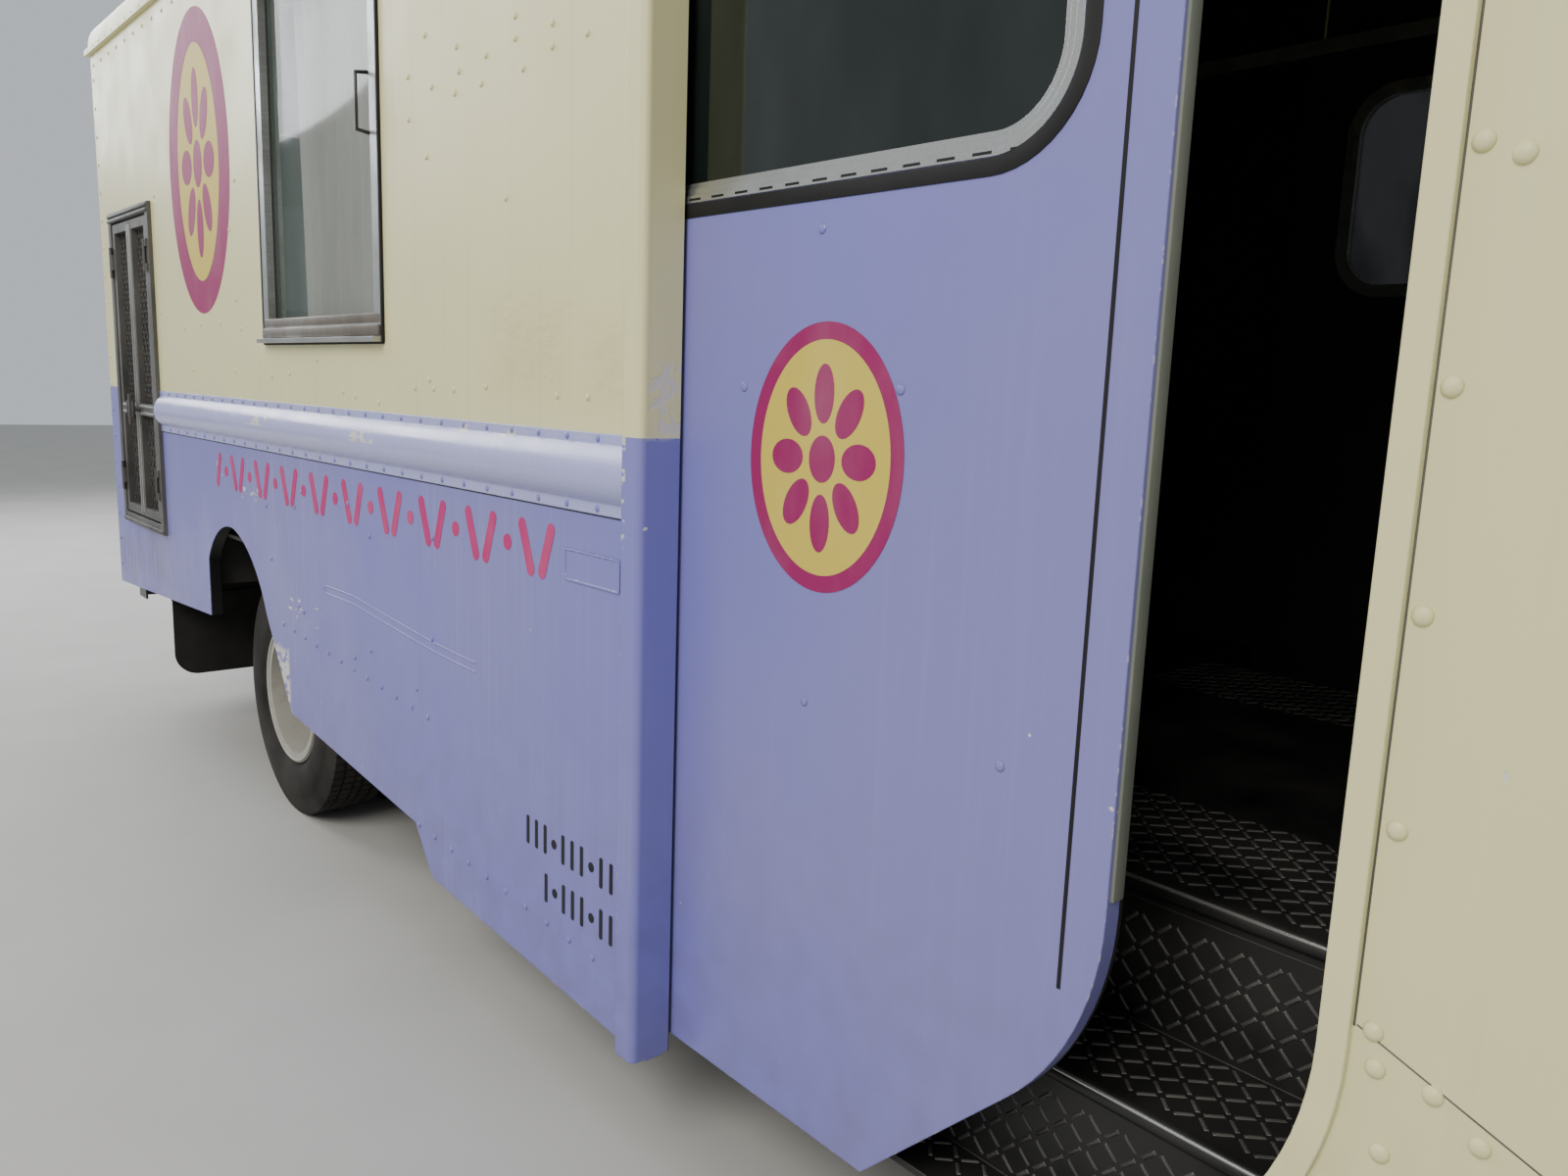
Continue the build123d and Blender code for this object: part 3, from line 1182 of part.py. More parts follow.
with BuildPart() as seat_cushions:
    block((seat_x - seat_w / 2, seat_x + seat_w / 2), (seat_y - seat_d / 2, seat_y + seat_d / 2 - back_t),
          (seat_z - cushion_h + seat_gap, seat_z))
    behind = seat_y + seat_d / 2 + pan_t - seat_gap
    block((seat_x - seat_w / 2 + 10, seat_x + seat_w / 2 - 10), (behind - back_t, behind),
          (seat_z + 10, seat_z + back_h))
    fillet(seat_cushions.edges(), cushion_r)
save(seat_cushions, "seat_cushions")

wheel_centre = (seat_x, deck_front_y + steering_reach, steering_z)
with BuildPart() as steering_wheel:
    x, y, z = wheel_centre
    down = Vector(0, -sin(radians(steering_tilt)), -cos(radians(steering_tilt)))
    plane = Plane(origin=wheel_centre, x_dir=(1, 0, 0), z_dir=-down)
    with Locations(plane):
        Torus(steering_r, steering_rim_r)
        Cylinder(42, 46)
        for turn in (0, 120, 240):
            with Locations(Rotation(0, 0, turn + 90)):
                Box(steering_r, 34, 12, align=(Align.MIN, Align.CENTER, Align.CENTER))
    reach = (y - deck_front_y - 50) / sin(radians(steering_tilt))
    rod(wheel_centre, tuple(Vector(*wheel_centre) + down * reach), 26)
    block((x - 18, x + 18), (deck_front_y + 120, deck_front_y + 180), (dash_low - 110, dash_low))
save(steering_wheel, "steering_wheel")
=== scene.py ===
import math
from functools import partial
import bpy
from mathutils import Matrix, Vector


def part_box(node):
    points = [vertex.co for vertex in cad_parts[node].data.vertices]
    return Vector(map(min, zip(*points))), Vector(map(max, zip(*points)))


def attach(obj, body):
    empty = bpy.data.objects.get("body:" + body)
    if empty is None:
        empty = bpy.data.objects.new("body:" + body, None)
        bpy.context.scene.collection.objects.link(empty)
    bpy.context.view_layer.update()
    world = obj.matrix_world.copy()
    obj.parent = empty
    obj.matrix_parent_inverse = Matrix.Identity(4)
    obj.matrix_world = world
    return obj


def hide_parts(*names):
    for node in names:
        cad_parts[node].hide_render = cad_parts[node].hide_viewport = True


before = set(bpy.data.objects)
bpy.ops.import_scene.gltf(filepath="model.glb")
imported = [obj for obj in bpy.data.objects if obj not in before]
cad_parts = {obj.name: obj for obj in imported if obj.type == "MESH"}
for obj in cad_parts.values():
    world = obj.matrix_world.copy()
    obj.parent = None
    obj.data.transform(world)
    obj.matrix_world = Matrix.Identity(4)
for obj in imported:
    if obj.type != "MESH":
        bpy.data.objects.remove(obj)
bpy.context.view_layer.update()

# Row frame: metres, front towards -Y, curb side towards -X, ground at z = 0
sideX = 1.150          # outer face of the body sides
breakZ = 1.377         # cream above, lavender below
postFrontY = -0.785    # the post behind the doorway
postRearY = -0.730
rearY = 3.280          # rear wall's outer face
doorX = 1.088          # outer face of a sliding door
filmOut = 0.0008       # film's outer face stands this far off the paint
axleZ = 0.405
frontAxleY = -2.520
rearAxleY = 1.470
deckZ = 0.750
curb, driver = -1, 1   # signs of x


# Small helpers for modelling by hand
def leaveEdit():
    bpy.ops.object.mode_set(mode="OBJECT")


def deselectAll():
    if bpy.context.object and bpy.context.object.mode != "OBJECT":
        leaveEdit()
    bpy.ops.object.select_all(action="DESELECT")


def pick(piece):
    deselectAll()
    piece.select_set(True)
    bpy.context.view_layer.objects.active = piece


def placeInMesh(piece):
    pick(piece)
    bpy.ops.object.transform_apply(location=True, rotation=True, scale=True)
    return piece


def addShape(add, scale=(1, 1, 1), **settings):
    # a primitive from its operator, with its place, turn and scale put in the mesh
    deselectAll()
    add(**settings)
    bpy.context.object.scale = scale
    return placeInMesh(bpy.context.object)


def editAll(piece):
    pick(piece)
    bpy.ops.object.mode_set(mode="EDIT")
    bpy.ops.mesh.select_all(action="SELECT")


def pickFaces(piece, wanted):
    # back in object mode the faces are chosen by centre and normal, then edit mode again
    pick(piece)
    bpy.ops.object.mode_set(mode="EDIT")
    bpy.ops.mesh.select_mode(type="FACE")
    bpy.ops.mesh.select_all(action="DESELECT")
    leaveEdit()
    for face in piece.data.polygons:
        face.select = wanted(face.center, face.normal)
    bpy.ops.object.mode_set(mode="EDIT")


def addModifier(piece, kind, settings):
    # the modifier goes on, gets its settings and is applied at once
    pick(piece)
    bpy.ops.object.modifier_add(type=kind)
    modifier = piece.modifiers[-1]
    for key, value in settings.items():
        setattr(modifier, key, value)
    bpy.ops.object.modifier_apply(modifier=modifier.name)
    return piece


def roundEdges(piece, width, steps=2, angle=30):
    return addModifier(piece, "BEVEL", {"width": width, "segments": steps, "limit_method": "ANGLE",
        "angle_limit": math.radians(angle)})


def mergeAll(pieces):
    deselectAll()
    for piece in pieces:
        piece.select_set(True)
    bpy.context.view_layer.objects.active = pieces[0]
    if len(pieces) > 1:
        bpy.ops.object.join()
    return placeInMesh(pieces[0])


def facing(point, outward, roll=0.0):
    # local Z points outwards and local Y up, or rearwards on a level face; then the roll
    out = Vector(outward).normalized()
    up = Vector((0, 0, 1)) if abs(out.z) < 0.9 else Vector((0, 1, 0))
    right = up.cross(out).normalized()
    turn = Matrix((right, out.cross(right), out)).transposed().to_4x4()
    return Matrix.Translation(point) @ turn @ Matrix.Rotation(roll, 4, "Z")


def strew(model, places):
    # one model, copied to each (point, outward, roll) with its own mesh, then joined
    copies = []
    for place in places:
        copy = model.copy()
        copy.data = model.data.copy()
        copy.matrix_world = facing(*place)
        bpy.context.collection.objects.link(copy)
        copies.append(copy)
    bpy.data.objects.remove(model)
    return mergeAll(copies)


def addBlock(low, high, edge=0.0, steps=2):
    low, high = Vector(low), Vector(high)
    low, high = Vector(map(min, low, high)), Vector(map(max, low, high))
    piece = addShape(bpy.ops.mesh.primitive_cube_add, high - low, size=1, location=(low + high) / 2)
    return roundEdges(piece, edge, steps) if edge else piece


def addRod(start, end, radius, sides=16, edge=0.0):
    start, end = Vector(start), Vector(end)
    piece = addShape(bpy.ops.mesh.primitive_cylinder_add, vertices=sides, radius=radius,
        depth=(end - start).length, location=(start + end) / 2,
        rotation=(end - start).to_track_quat("Z", "Y").to_euler())
    return roundEdges(piece, edge, 2, 50) if edge else piece


def drawLine(points, closed=False, radius=0.0, rounds=3):
    # a line through the points, made a mesh; with a radius it is a bent rod
    deselectAll()
    curve = bpy.data.curves.new("line", "CURVE")
    curve.dimensions = "3D"
    curve.bevel_depth = radius
    curve.bevel_resolution = rounds
    curve.use_fill_caps = True
    line = curve.splines.new("POLY")
    line.points.add(len(points) - 1)
    for spot, point in zip(line.points, points):
        spot.co = (*point, 1)
    line.use_cyclic_u = closed
    piece = bpy.data.objects.new("line", curve)
    bpy.context.collection.objects.link(piece)
    pick(piece)
    bpy.ops.object.convert(target="MESH")
    return placeInMesh(bpy.context.object)


def roundedLoop(corners, radius, steps=5):
    # the corners' loop with each corner turned into an arc
    points = []
    for i, corner in enumerate(corners):
        here = Vector(corner)
        before = (Vector(corners[i - 1]) - here).normalized() * radius
        after = (Vector(corners[(i + 1) % len(corners)]) - here).normalized() * radius
        for k in range(steps + 1):
            t = k / steps
            points.append(here + before * (1 - t) ** 2 + after * t ** 2)
    return points


def addPlate(size, corner, thick, band=0.0, edge=0.0, sides=6):
    # a sheet cut with round corners, or a ring as wide as band; its outer face lies on local z = 0
    piece = addShape(bpy.ops.mesh.primitive_plane_add, (*size, 1), size=1)
    editAll(piece)
    bpy.ops.mesh.bevel(offset=corner, segments=sides, affect="VERTICES")
    return finishSheet(piece, thick, band, edge)


def addOval(size, thick, band=0.0, edge=0.0, sides=72):
    piece = addShape(bpy.ops.mesh.primitive_circle_add, (*size, 1), vertices=sides, radius=0.5,
        fill_type="NGON")
    return finishSheet(piece, thick, band, edge)


def finishSheet(piece, thick, band, edge):
    editAll(piece)
    if band:
        bpy.ops.mesh.inset(thickness=band)
        bpy.ops.mesh.delete(type="FACE")
    leaveEdit()
    addModifier(piece, "SOLIDIFY", {"thickness": thick, "offset": -1})
    return roundEdges(piece, edge, 2, 50) if edge else piece


def stand(piece, point, outward, roll=0.0):
    piece.matrix_world = facing(point, outward, roll)
    return placeInMesh(piece)


def addDome(radius, height, sides=10, rings=6, foot=-0.2, way=1, closed=True):
    # part of a flattened ball, cut at its foot: a rivet's head is let into the skin, a lamp's bowl is open
    piece = addShape(bpy.ops.mesh.primitive_uv_sphere_add, segments=sides, ring_count=rings, radius=radius)
    editAll(piece)
    bpy.ops.mesh.bisect(plane_co=(0, 0, foot * radius), plane_no=(0, 0, way), clear_inner=True,
        use_fill=closed)
    leaveEdit()
    piece.scale = (1, 1, height / radius)
    return placeInMesh(piece)


def settle(pieces, name, material, angle=35, body="chassis"):
    # one piece, or several joined, with its name, finish and body
    piece = mergeAll(pieces) if isinstance(pieces, list) else placeInMesh(pieces)
    piece.name = name
    bpy.ops.object.shade_smooth_by_angle(angle=math.radians(angle))
    piece.data.materials.clear()
    piece.data.materials.append(material)
    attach(piece, body)
    return piece


# Materials
def tone(code):
    # sRGB hex to the linear colour that the shader wants
    parts = [int(code[i:i + 2], 16) / 255 for i in (0, 2, 4)]
    return (*[c / 12.92 if c <= 0.04045 else ((c + 0.055) / 1.055) ** 2.4 for c in parts], 1)


def fillNode(node, settings):
    # a key names a property, or an input by name or number; a value that is a socket is linked
    for key, value in settings.items():
        if isinstance(value, bpy.types.NodeSocket):
            node.id_data.links.new(value, node.inputs[key])
        elif isinstance(key, str) and hasattr(node, key):
            setattr(node, key, value)
        else:
            node.inputs[key].default_value = value


def addNode(tree, kind, settings, out=0):
    node = tree.nodes.new("ShaderNode" + kind)
    fillNode(node, settings)
    return node.outputs[out]


def newMaterial(name):
    # the material, its own way to add a node, its shader, and the point on the object
    material = bpy.data.materials.new(name)
    material.use_nodes = True
    add = partial(addNode, material.node_tree)
    return material, add, material.node_tree.nodes["Principled BSDF"], add("TexCoord", {}, "Object")


def grainMask(add, where, scale, low, high, stretch=(1, 1, 1), detail=3.0):
    # noise at so many grains a metre, stretched, then cut to a 0 to 1 mask
    spread = add("Mapping", {"Vector": where, "Scale": stretch})
    noise = add("TexNoise", {"Vector": spread, "Scale": scale, "Detail": detail})
    return add("MapRange", {"Value": noise, "From Min": low, "From Max": high})


def boxMask(add, where, centre, half, fade=0.25):
    # 1 inside a box, falling to 0 over the outer part of its half sizes
    shifted = add("VectorMath", {"operation": "SUBTRACT", 0: where, 1: centre})
    scaled = add("VectorMath", {"operation": "DIVIDE", 0: shifted, 1: half})
    sized = add("VectorMath", {"operation": "ABSOLUTE", 0: scaled})
    split = add("SeparateXYZ", {0: sized}).node
    widest = split.outputs[0]
    for other in split.outputs[1:]:
        widest = add("Math", {"operation": "MAXIMUM", 0: widest, 1: other})
    return add("MapRange", {"Value": widest, "From Min": 1.0, "From Max": 1.0 - fade})


def layerTones(add, base, layers):
    # each layer is (mask, share, colour) and lies over the ones before it
    for mask, share, code in layers:
        amount = add("Math", {"operation": "MULTIPLY", 0: mask, 1: share, "use_clamp": True})
        base = add("Mix", {"data_type": "RGBA", 0: amount, 6: base, 7: tone(code)}, 2)
    return base


def edgeMask(add, radius, start, full):
    # where the rounded normal leaves the face's own normal: the edges of sheet and bar
    rounded = add("Bevel", {"samples": 4, "Radius": radius})
    flat = add("NewGeometry", {}, "Normal")
    turned = add("VectorMath", {"operation": "DOT_PRODUCT", 0: rounded, 1: flat}, "Value")
    return rounded, add("MapRange", {"Value": turned, "From Min": start, "From Max": full})


# How far the painted shade on inside faces reaches: back to the rear wall, forward to the front, which leans
# above a height
inside = {"leanFrom": 1.5, "lean": 0.175, "front": -3.248, "rear": 3.262}


def agedPaint(name, colour, lower=None, insideShadeLimits=None, rough=0.38, streaks=1.0, scratch=0.0, crinkles=(),
        chips=(), stains=(), paintedShade=()):
    # brushed enamel on sheet aluminium: satin, with rain streaks, orange peel and chips down to pale primer
    material, add, shader, where = newMaterial(name)
    split = add("SeparateXYZ", {0: where}).node
    x, y, z = split.outputs
    base = tone(colour)
    if lower:
        above = add("Math", {"operation": "GREATER_THAN", 0: z, 1: breakZ})
        base = add("Mix", {"data_type": "RGBA", 0: above, 6: tone(lower), 7: tone(colour)}, 2)
    patchy = grainMask(add, where, 1.1, 0.40, 0.62, detail=4)
    rain = grainMask(add, where, 1, 0.52, 0.80, (60, 60, 1.3), 4)
    drip = grainMask(add, where, 1, 0.56, 0.80, (27, 27, 0.6), 3)
    rain = add("Math", {"operation": "MULTIPLY", 0: rain, 1: patchy})
    low = add("MapRange", {"Value": z, "From Min": 0.95, "From Max": 0.25})
    spatter = grainMask(add, where, 14, 0.35, 0.75, detail=8)
    spatter = add("Math", {"operation": "MULTIPLY", 0: spatter, 1: low})
    rounded, edges = edgeMask(add, 0.0035, 0.995, 0.93)
    flakes = add("Math", {"operation": "MULTIPLY", 0: edges,
        1: grainMask(add, where, 85, 0.60, 0.63, detail=2)})
    specks = grainMask(add, where, 30, 0.79, 0.80, detail=2)
    chipMask = add("Math", {"operation": "MAXIMUM", 0: flakes, 1: specks})
    for centre, half, cut in chips:
        flakes = add("Math", {"operation": "MULTIPLY", 0: boxMask(add, where, centre, half),
            1: grainMask(add, where, 55, cut, cut + 0.03, (1, 0.45, 1), 3)})
        chipMask = add("Math", {"operation": "MAXIMUM", 0: chipMask, 1: flakes})
    layers = [(patchy, 0.10, "a89f74"), (rain, 0.15 * streaks, "e6e6ea"), (drip, 0.10 * streaks, "5f5a50"),
        (spatter, 0.30, "5f5a50"), (chipMask, 0.9, "d0cdc4")]
    if insideShadeLimits:
        # inside faces are painted near black, as painted shade for the dim inside of the body; the limit is
        # nearer the middle at the posts' return faces
        limit = add("MapRange", {"Value": y, "From Min": postRearY - 0.001, "From Max": postRearY,
            "To Min": insideShadeLimits[0], "To Max": insideShadeLimits[1]})
        out = add("Math", {"operation": "ABSOLUTE", 0: x})
        innerShade = add("Math", {"operation": "LESS_THAN", 0: out, 1: limit})
        lean = add("Math", {"operation": "MAXIMUM", 0: z, 1: inside["leanFrom"]})
        front = add("Math", {"operation": "MULTIPLY_ADD", 0: lean, 1: -inside["lean"], 2: y})
        for place, test, end in ((front, "GREATER_THAN", inside["front"]), (y, "LESS_THAN", inside["rear"])):
            within = add("Math", {"operation": test, 0: place, 1: end})
            innerShade = add("Math", {"operation": "MULTIPLY", 0: innerShade, 1: within})
        layers.append((innerShade, 1.0, "2b2c2c"))
    for centre, half in stains:
        # grime washed down from an opening
        washed = add("Math", {"operation": "MULTIPLY", 0: boxMask(add, where, centre, half, 0.6),
            1: grainMask(add, where, 1, 0.42, 0.66, (34, 34, 2), 4)})
        layers.append((washed, 0.55, "55504a"))
    # the wheel arch's inside faces are painted near black: painted shade
    for centre, half in paintedShade:
        layers.append((boxMask(add, where, centre, half, 0.002), 1.0, "0c0c0c"))
    sheen = add("MapRange", {"Value": grainMask(add, where, 5, 0.3, 0.7, detail=6), "To Min": rough - 0.05,
        "To Max": rough + 0.10})
    # sheet metal is never dead flat: slow waves, then orange peel, then what is chipped or crinkled
    waves = add("TexNoise", {"Vector": where, "Scale": 2.2, "Detail": 1.0})
    bump = add("Bump", {"Strength": 0.6, "Distance": 0.0064, "Height": waves, "Normal": rounded})
    peel = add("TexNoise", {"Vector": where, "Scale": 240, "Detail": 2.0})
    bump = add("Bump", {"Strength": 0.25, "Distance": 0.0004, "Height": peel, "Normal": bump})
    bump = add("Bump", {"Strength": 0.7, "Distance": -0.0005, "Height": chipMask, "Normal": bump})
    for centre, half in crinkles:
        wrinkled = add("Math", {"operation": "MULTIPLY", 0: boxMask(add, where, centre, half, 0.7),
            1: grainMask(add, where, 30, 0.35, 0.65, (1, 0.6, 1), 5)})
        bump = add("Bump", {"Strength": 0.5, "Distance": 0.0022, "Height": wrinkled, "Normal": bump})
        layers.insert(1, (boxMask(add, where, centre, half, 0.7), 0.22, "b8a468"))
    if scratch:
        # fine upright scuffs from hoses and elbows
        scuffs = grainMask(add, where, 1, 0.56, 0.72, (170, 170, 5), 4)
        layers.append((scuffs, scratch, "d4d5e2"))
    fillNode(shader, {"Base Color": layerTones(add, base, layers), "Roughness": sheen, "Normal": bump,
        "IOR": 1.5})
    return material


def roughSteel(name, colour, worn, rust, rough, rustShare, grain=60):
    # painted or cast steel that has stood outside: dull, dusty, with rust blooms
    material, add, shader, where = newMaterial(name)
    dust = grainMask(add, where, 3, 0.35, 0.7, detail=6)
    bloom = grainMask(add, where, 17, 0.62 - 0.25 * rustShare, 0.72, detail=7)
    rounded, edges = edgeMask(add, 0.002, 0.99, 0.9)
    grit = add("TexNoise", {"Vector": where, "Scale": grain, "Detail": 8.0})
    pitted = add("Bump", {"Strength": 0.35, "Distance": 0.0012, "Height": grit, "Normal": rounded})
    matte = add("MapRange", {"Value": bloom, "To Min": rough, "To Max": 0.9})
    coat = layerTones(add, tone(colour), [(dust, 0.5, worn), (edges, 0.35, worn), (bloom, rustShare, rust)])
    fillNode(shader, {"Base Color": coat, "Roughness": matte, "Normal": pitted})
    return material


def millAluminium(name, colour, rough, along=(6, 90, 90), dulling="77766f", metallic=0.85):
    # extruded aluminium left bare: grey, drawn lines along its length, dull stains
    material, add, shader, where = newMaterial(name)
    stain = grainMask(add, where, 7, 0.40, 0.72, detail=6)
    lines = grainMask(add, where, 4, 0.35, 0.7, along, 3)
    matte = add("MapRange", {"Value": stain, "To Min": rough, "To Max": rough + 0.2})
    rounded = add("Bevel", {"samples": 4, "Radius": 0.0012})
    drawn = add("Bump", {"Strength": 0.2, "Distance": 0.0003, "Height": lines, "Normal": rounded})
    fillNode(shader, {"Base Color": layerTones(add, tone(colour),
        [(stain, 0.6, dulling), (lines, 0.35, dulling)]), "Metallic": metallic, "Roughness": matte,
        "Normal": drawn})
    return material


def windowGlass(name, colour, share, film="9aa09a"):
    # float glass: the given colour laid over it at part opacity, with a film of dust that catches light
    material, add, shader, where = newMaterial(name)
    dust = grainMask(add, where, 6, 0.4, 0.8, (1, 1, 0.4), 6)
    veil = add("MapRange", {"Value": dust, "To Min": share, "To Max": share + 0.12})
    fillNode(shader, {"Base Color": layerTones(add, tone(colour), [(dust, 0.12, film)]), "Alpha": veil,
        "Roughness": 0.04, "IOR": 1.52, "Specular IOR Level": 0.6})
    return material


def mouldedLens(name, colour, share=0.85):
    # pressed lens of coloured plastic: glossy, ribbed inside
    material, add, shader, where = newMaterial(name)
    ribs = add("TexWave", {"Vector": where, "Scale": 55, "bands_direction": "Z"}, 1)
    inner = add("Bump", {"Strength": 0.5, "Distance": 0.001, "Height": ribs})
    fillNode(shader, {"Base Color": tone(colour), "Normal": inner, "Roughness": 0.12, "Coat Weight": 1.0,
        "Coat Roughness": 0.03, "Alpha": share})
    return material


def wornRubber(name, colour, dusty, rough=0.8, grain=120, dustShare=0.5):
    # black rubber gone grey: dust held in its grain, no shine
    material, add, shader, where = newMaterial(name)
    dust = grainMask(add, where, 7, 0.30, 0.75, detail=8)
    grit = add("TexNoise", {"Vector": where, "Scale": grain, "Detail": 6.0})
    skin = add("Bump", {"Strength": 0.3, "Distance": 0.0008, "Height": grit})
    fillNode(shader, {"Base Color": layerTones(add, tone(colour), [(dust, dustShare, dusty)]),
        "Roughness": rough, "Specular IOR Level": 0.3, "Normal": skin})
    return material


def grainedPlastic(name, colour, rough=0.55, grain=380):
    # moulded plastic or vinyl: fine leather-like grain, a little dust
    material, add, shader, where = newMaterial(name)
    dust = grainMask(add, where, 6, 0.4, 0.8, detail=6)
    cells = add("TexVoronoi", {"Vector": where, "Scale": grain})
    pebbled = add("Bump", {"Strength": 0.25, "Distance": 0.0005, "Height": cells})
    fillNode(shader, {"Base Color": layerTones(add, tone(colour), [(dust, 0.18, "8b877f")]),
        "Roughness": rough, "Normal": pebbled})
    return material


def sheerCloth(name):
    # unlined polyester curtain: thin, pale grey; its weave is drawn at 3 mm so that it shows
    material, add, shader, where = newMaterial(name)
    warp = add("TexWave", {"Vector": where, "Scale": 52, "bands_direction": "Y"}, 1)
    weft = add("TexWave", {"Vector": where, "Scale": 52, "bands_direction": "Z"}, 1)
    weave = add("Math", {"operation": "MULTIPLY", 0: warp, 1: weft})
    # darker upright streaks over the cloth: painted shade of the folds
    fade = grainMask(add, where, 4, 0.35, 0.7, (1, 1, 0.3), 5)
    lie = add("Bump", {"Strength": 0.4, "Distance": 0.0006, "Height": weave})
    cloth = layerTones(add, tone("cfccc6"), [(fade, 0.6, "b5aea5"), (weave, 0.22, "ffffff")])
    fillNode(shader, {"Base Color": cloth, "Roughness": 0.9, "Sheen Weight": 0.3, "Normal": lie})
    return material


def printedFilm(name, colour, fade="d9d3c9"):
    # cut vinyl film stuck to the paint: flat colour, slightly glossy, sun-faded in patches
    material, add, shader, where = newMaterial(name)
    worn = grainMask(add, where, 9, 0.45, 0.8, (1, 1, 0.5), 6)
    peel = add("TexNoise", {"Vector": where, "Scale": 240, "Detail": 2.0})
    skin = add("Bump", {"Strength": 0.2, "Distance": 0.0003, "Height": peel})
    fillNode(shader, {"Base Color": layerTones(add, tone(colour), [(worn, 0.10, fade)]), "Roughness": 0.55,
        "Specular IOR Level": 0.3, "Normal": skin})
    return material


def wornCheckerplate(name, colour, bare, share=0.5):
    # black painted tread plate: paint left in the hollows, lugs and nosing rubbed to grey steel
    material, add, shader, where = newMaterial(name)
    rounded, rubbed = edgeMask(add, 0.003, 0.99, 0.85)
    patches = grainMask(add, where, 6, 0.3, 0.65, detail=7)
    rubbed = add("Math", {"operation": "MULTIPLY", 0: rubbed, 1: patches})
    matte = add("MapRange", {"Value": patches, "To Min": 0.30, "To Max": 0.55})
    coat = layerTones(add, tone(colour), [(patches, 0.35, "3a3836"), (rubbed, share, bare)])
    fillNode(shader, {"Base Color": coat, "Roughness": matte, "Normal": rounded})
    return material


# Paint with the marks that the photographed side shows, each a centre and half sizes, chips with their cut
wallMarks = {
    "crinkles": (((-sideX, -0.35, 1.53), (0.06, 0.24, 0.14)), ((-sideX, -0.64, 1.50), (0.06, 0.11, 0.12))),
    "chips": (((-sideX, 1.19, 0.52), (0.05, 0.085, 0.13), 0.44),
              ((-1.12, postFrontY, 1.44), (0.05, 0.02, 0.07), 0.49),
              ((-1.17, postRearY, 1.30), (0.03, 0.012, 0.12), 0.53),
              ((-sideX, 0.98, 0.78), (0.05, 0.16, 0.035), 0.62),
              ((-sideX, 1.42, 1.085), (0.05, 0.12, 0.022), 0.57)),
    "stains": (((-sideX, 2.74, 0.75), (0.06, 0.34, 0.14)), ((-sideX, 3.10, 0.66), (0.06, 0.20, 0.12))),
    # the rear wheel arch's inside faces, painted near black as painted shade
    "paintedShade": (((0, 1.55, 0.50), (1.1490, 0.60, 0.462)),),
}
beltMarks = {
    "chips": (((0, 0.85, 1.371), (1.19, 1.7, 0.010), 0.60),
              ((-1.18, 0.44, 1.318), (0.03, 0.085, 0.020), 0.49),
              ((-1.18, 1.25, 1.322), (0.03, 0.110, 0.020), 0.49),
              ((-1.153, -0.27, 1.356), (0.01, 0.035, 0.013), 0.45),
              ((-1.153, -0.10, 1.360), (0.01, 0.050, 0.010), 0.50)),
}
# the belt's colour is the wall's lavender laid lighter: painted reflection of the bright sky on its rounded
# face
enamel = {"cream": "dad6a3", "lavender": "7675ba", "belt": "a2a5d6"}
cream = agedPaint("creamEnamelBrushed", enamel["cream"])
creamCab = agedPaint("creamEnamelBrushedCab", enamel["cream"], insideShadeLimits=(1.1115, 1.1115))
lavender = agedPaint("lavenderEnamelBrushed", enamel["lavender"], insideShadeLimits=(1.060, 1.060), rough=0.34,
    streaks=0.15)
beltEnamel = agedPaint("lavenderEnamelBelt", enamel["belt"], rough=0.24, streaks=0.4, scratch=0.16,
    **beltMarks)
twoTone = agedPaint("twoToneEnamelBrushed", enamel["cream"], lower=enamel["lavender"],
    insideShadeLimits=(1.0965, 1.1115), **wallMarks)
chassisBlack = roughSteel("blackChassisPaintSprayed", "1d1d1e", "4c4843", "5a3c28", 0.62, 0.25)
wheelGrey = roughSteel("greyWheelEnamelSprayed", "a9a79e", "837f74", "7a5236", 0.45, 0.22)
bumperBlack = roughSteel("bumperEnamelSprayed", "232426", "5a5650", "5a3c28", 0.40, 0.15)
bayGrey = roughSteel("baySteelWeathered", "3c3c3a", "77756e", "5e4634", 0.50, 0.30)
castSteel = roughSteel("steelCastOily", "3a3836", "57504a", "664530", 0.60, 0.45)
exhaustSteel = roughSteel("steelPipeScaled", "6e675f", "8a7f72", "7a4a2c", 0.60, 0.60)
bareAluminium = millAluminium("aluminiumExtrudedMill", "b4b6b4", 0.32)
sashAluminium = millAluminium("aluminiumSashDrawn", "c6c8c6", 0.26, dulling="8e8d87")
brownAluminium = millAluminium("aluminiumSillBrushed", "8f877b", 0.36, dulling="5f5850")
mirrorSteel = millAluminium("stainlessPressedPolished", "c9cac8", 0.18, dulling="9a9a96")
mirrorGlass = millAluminium("silveredGlassFloat", "d2d6d6", 0.03, dulling="c2c8c8", metallic=1.0)
checkerplate = wornCheckerplate("treadPlatePaintedBlack", "131314", "8c8984")
lugSteel = wornCheckerplate("treadLugRubbed", "2a2a2a", "a5a29c", 0.8)
tyreRubber = wornRubber("tyreRubberMoulded", "171717", "4a453e", 0.82)
flapRubber = wornRubber("rubberSheetMoulded", "121212", "3d3a35", 0.85)
gasketRubber = wornRubber("gasketRubberExtruded", "101011", "333230", 0.62, dustShare=0.3)
greyStrip = wornRubber("weatherstripRubberExtruded", "6f756c", "8a8a80", 0.75)
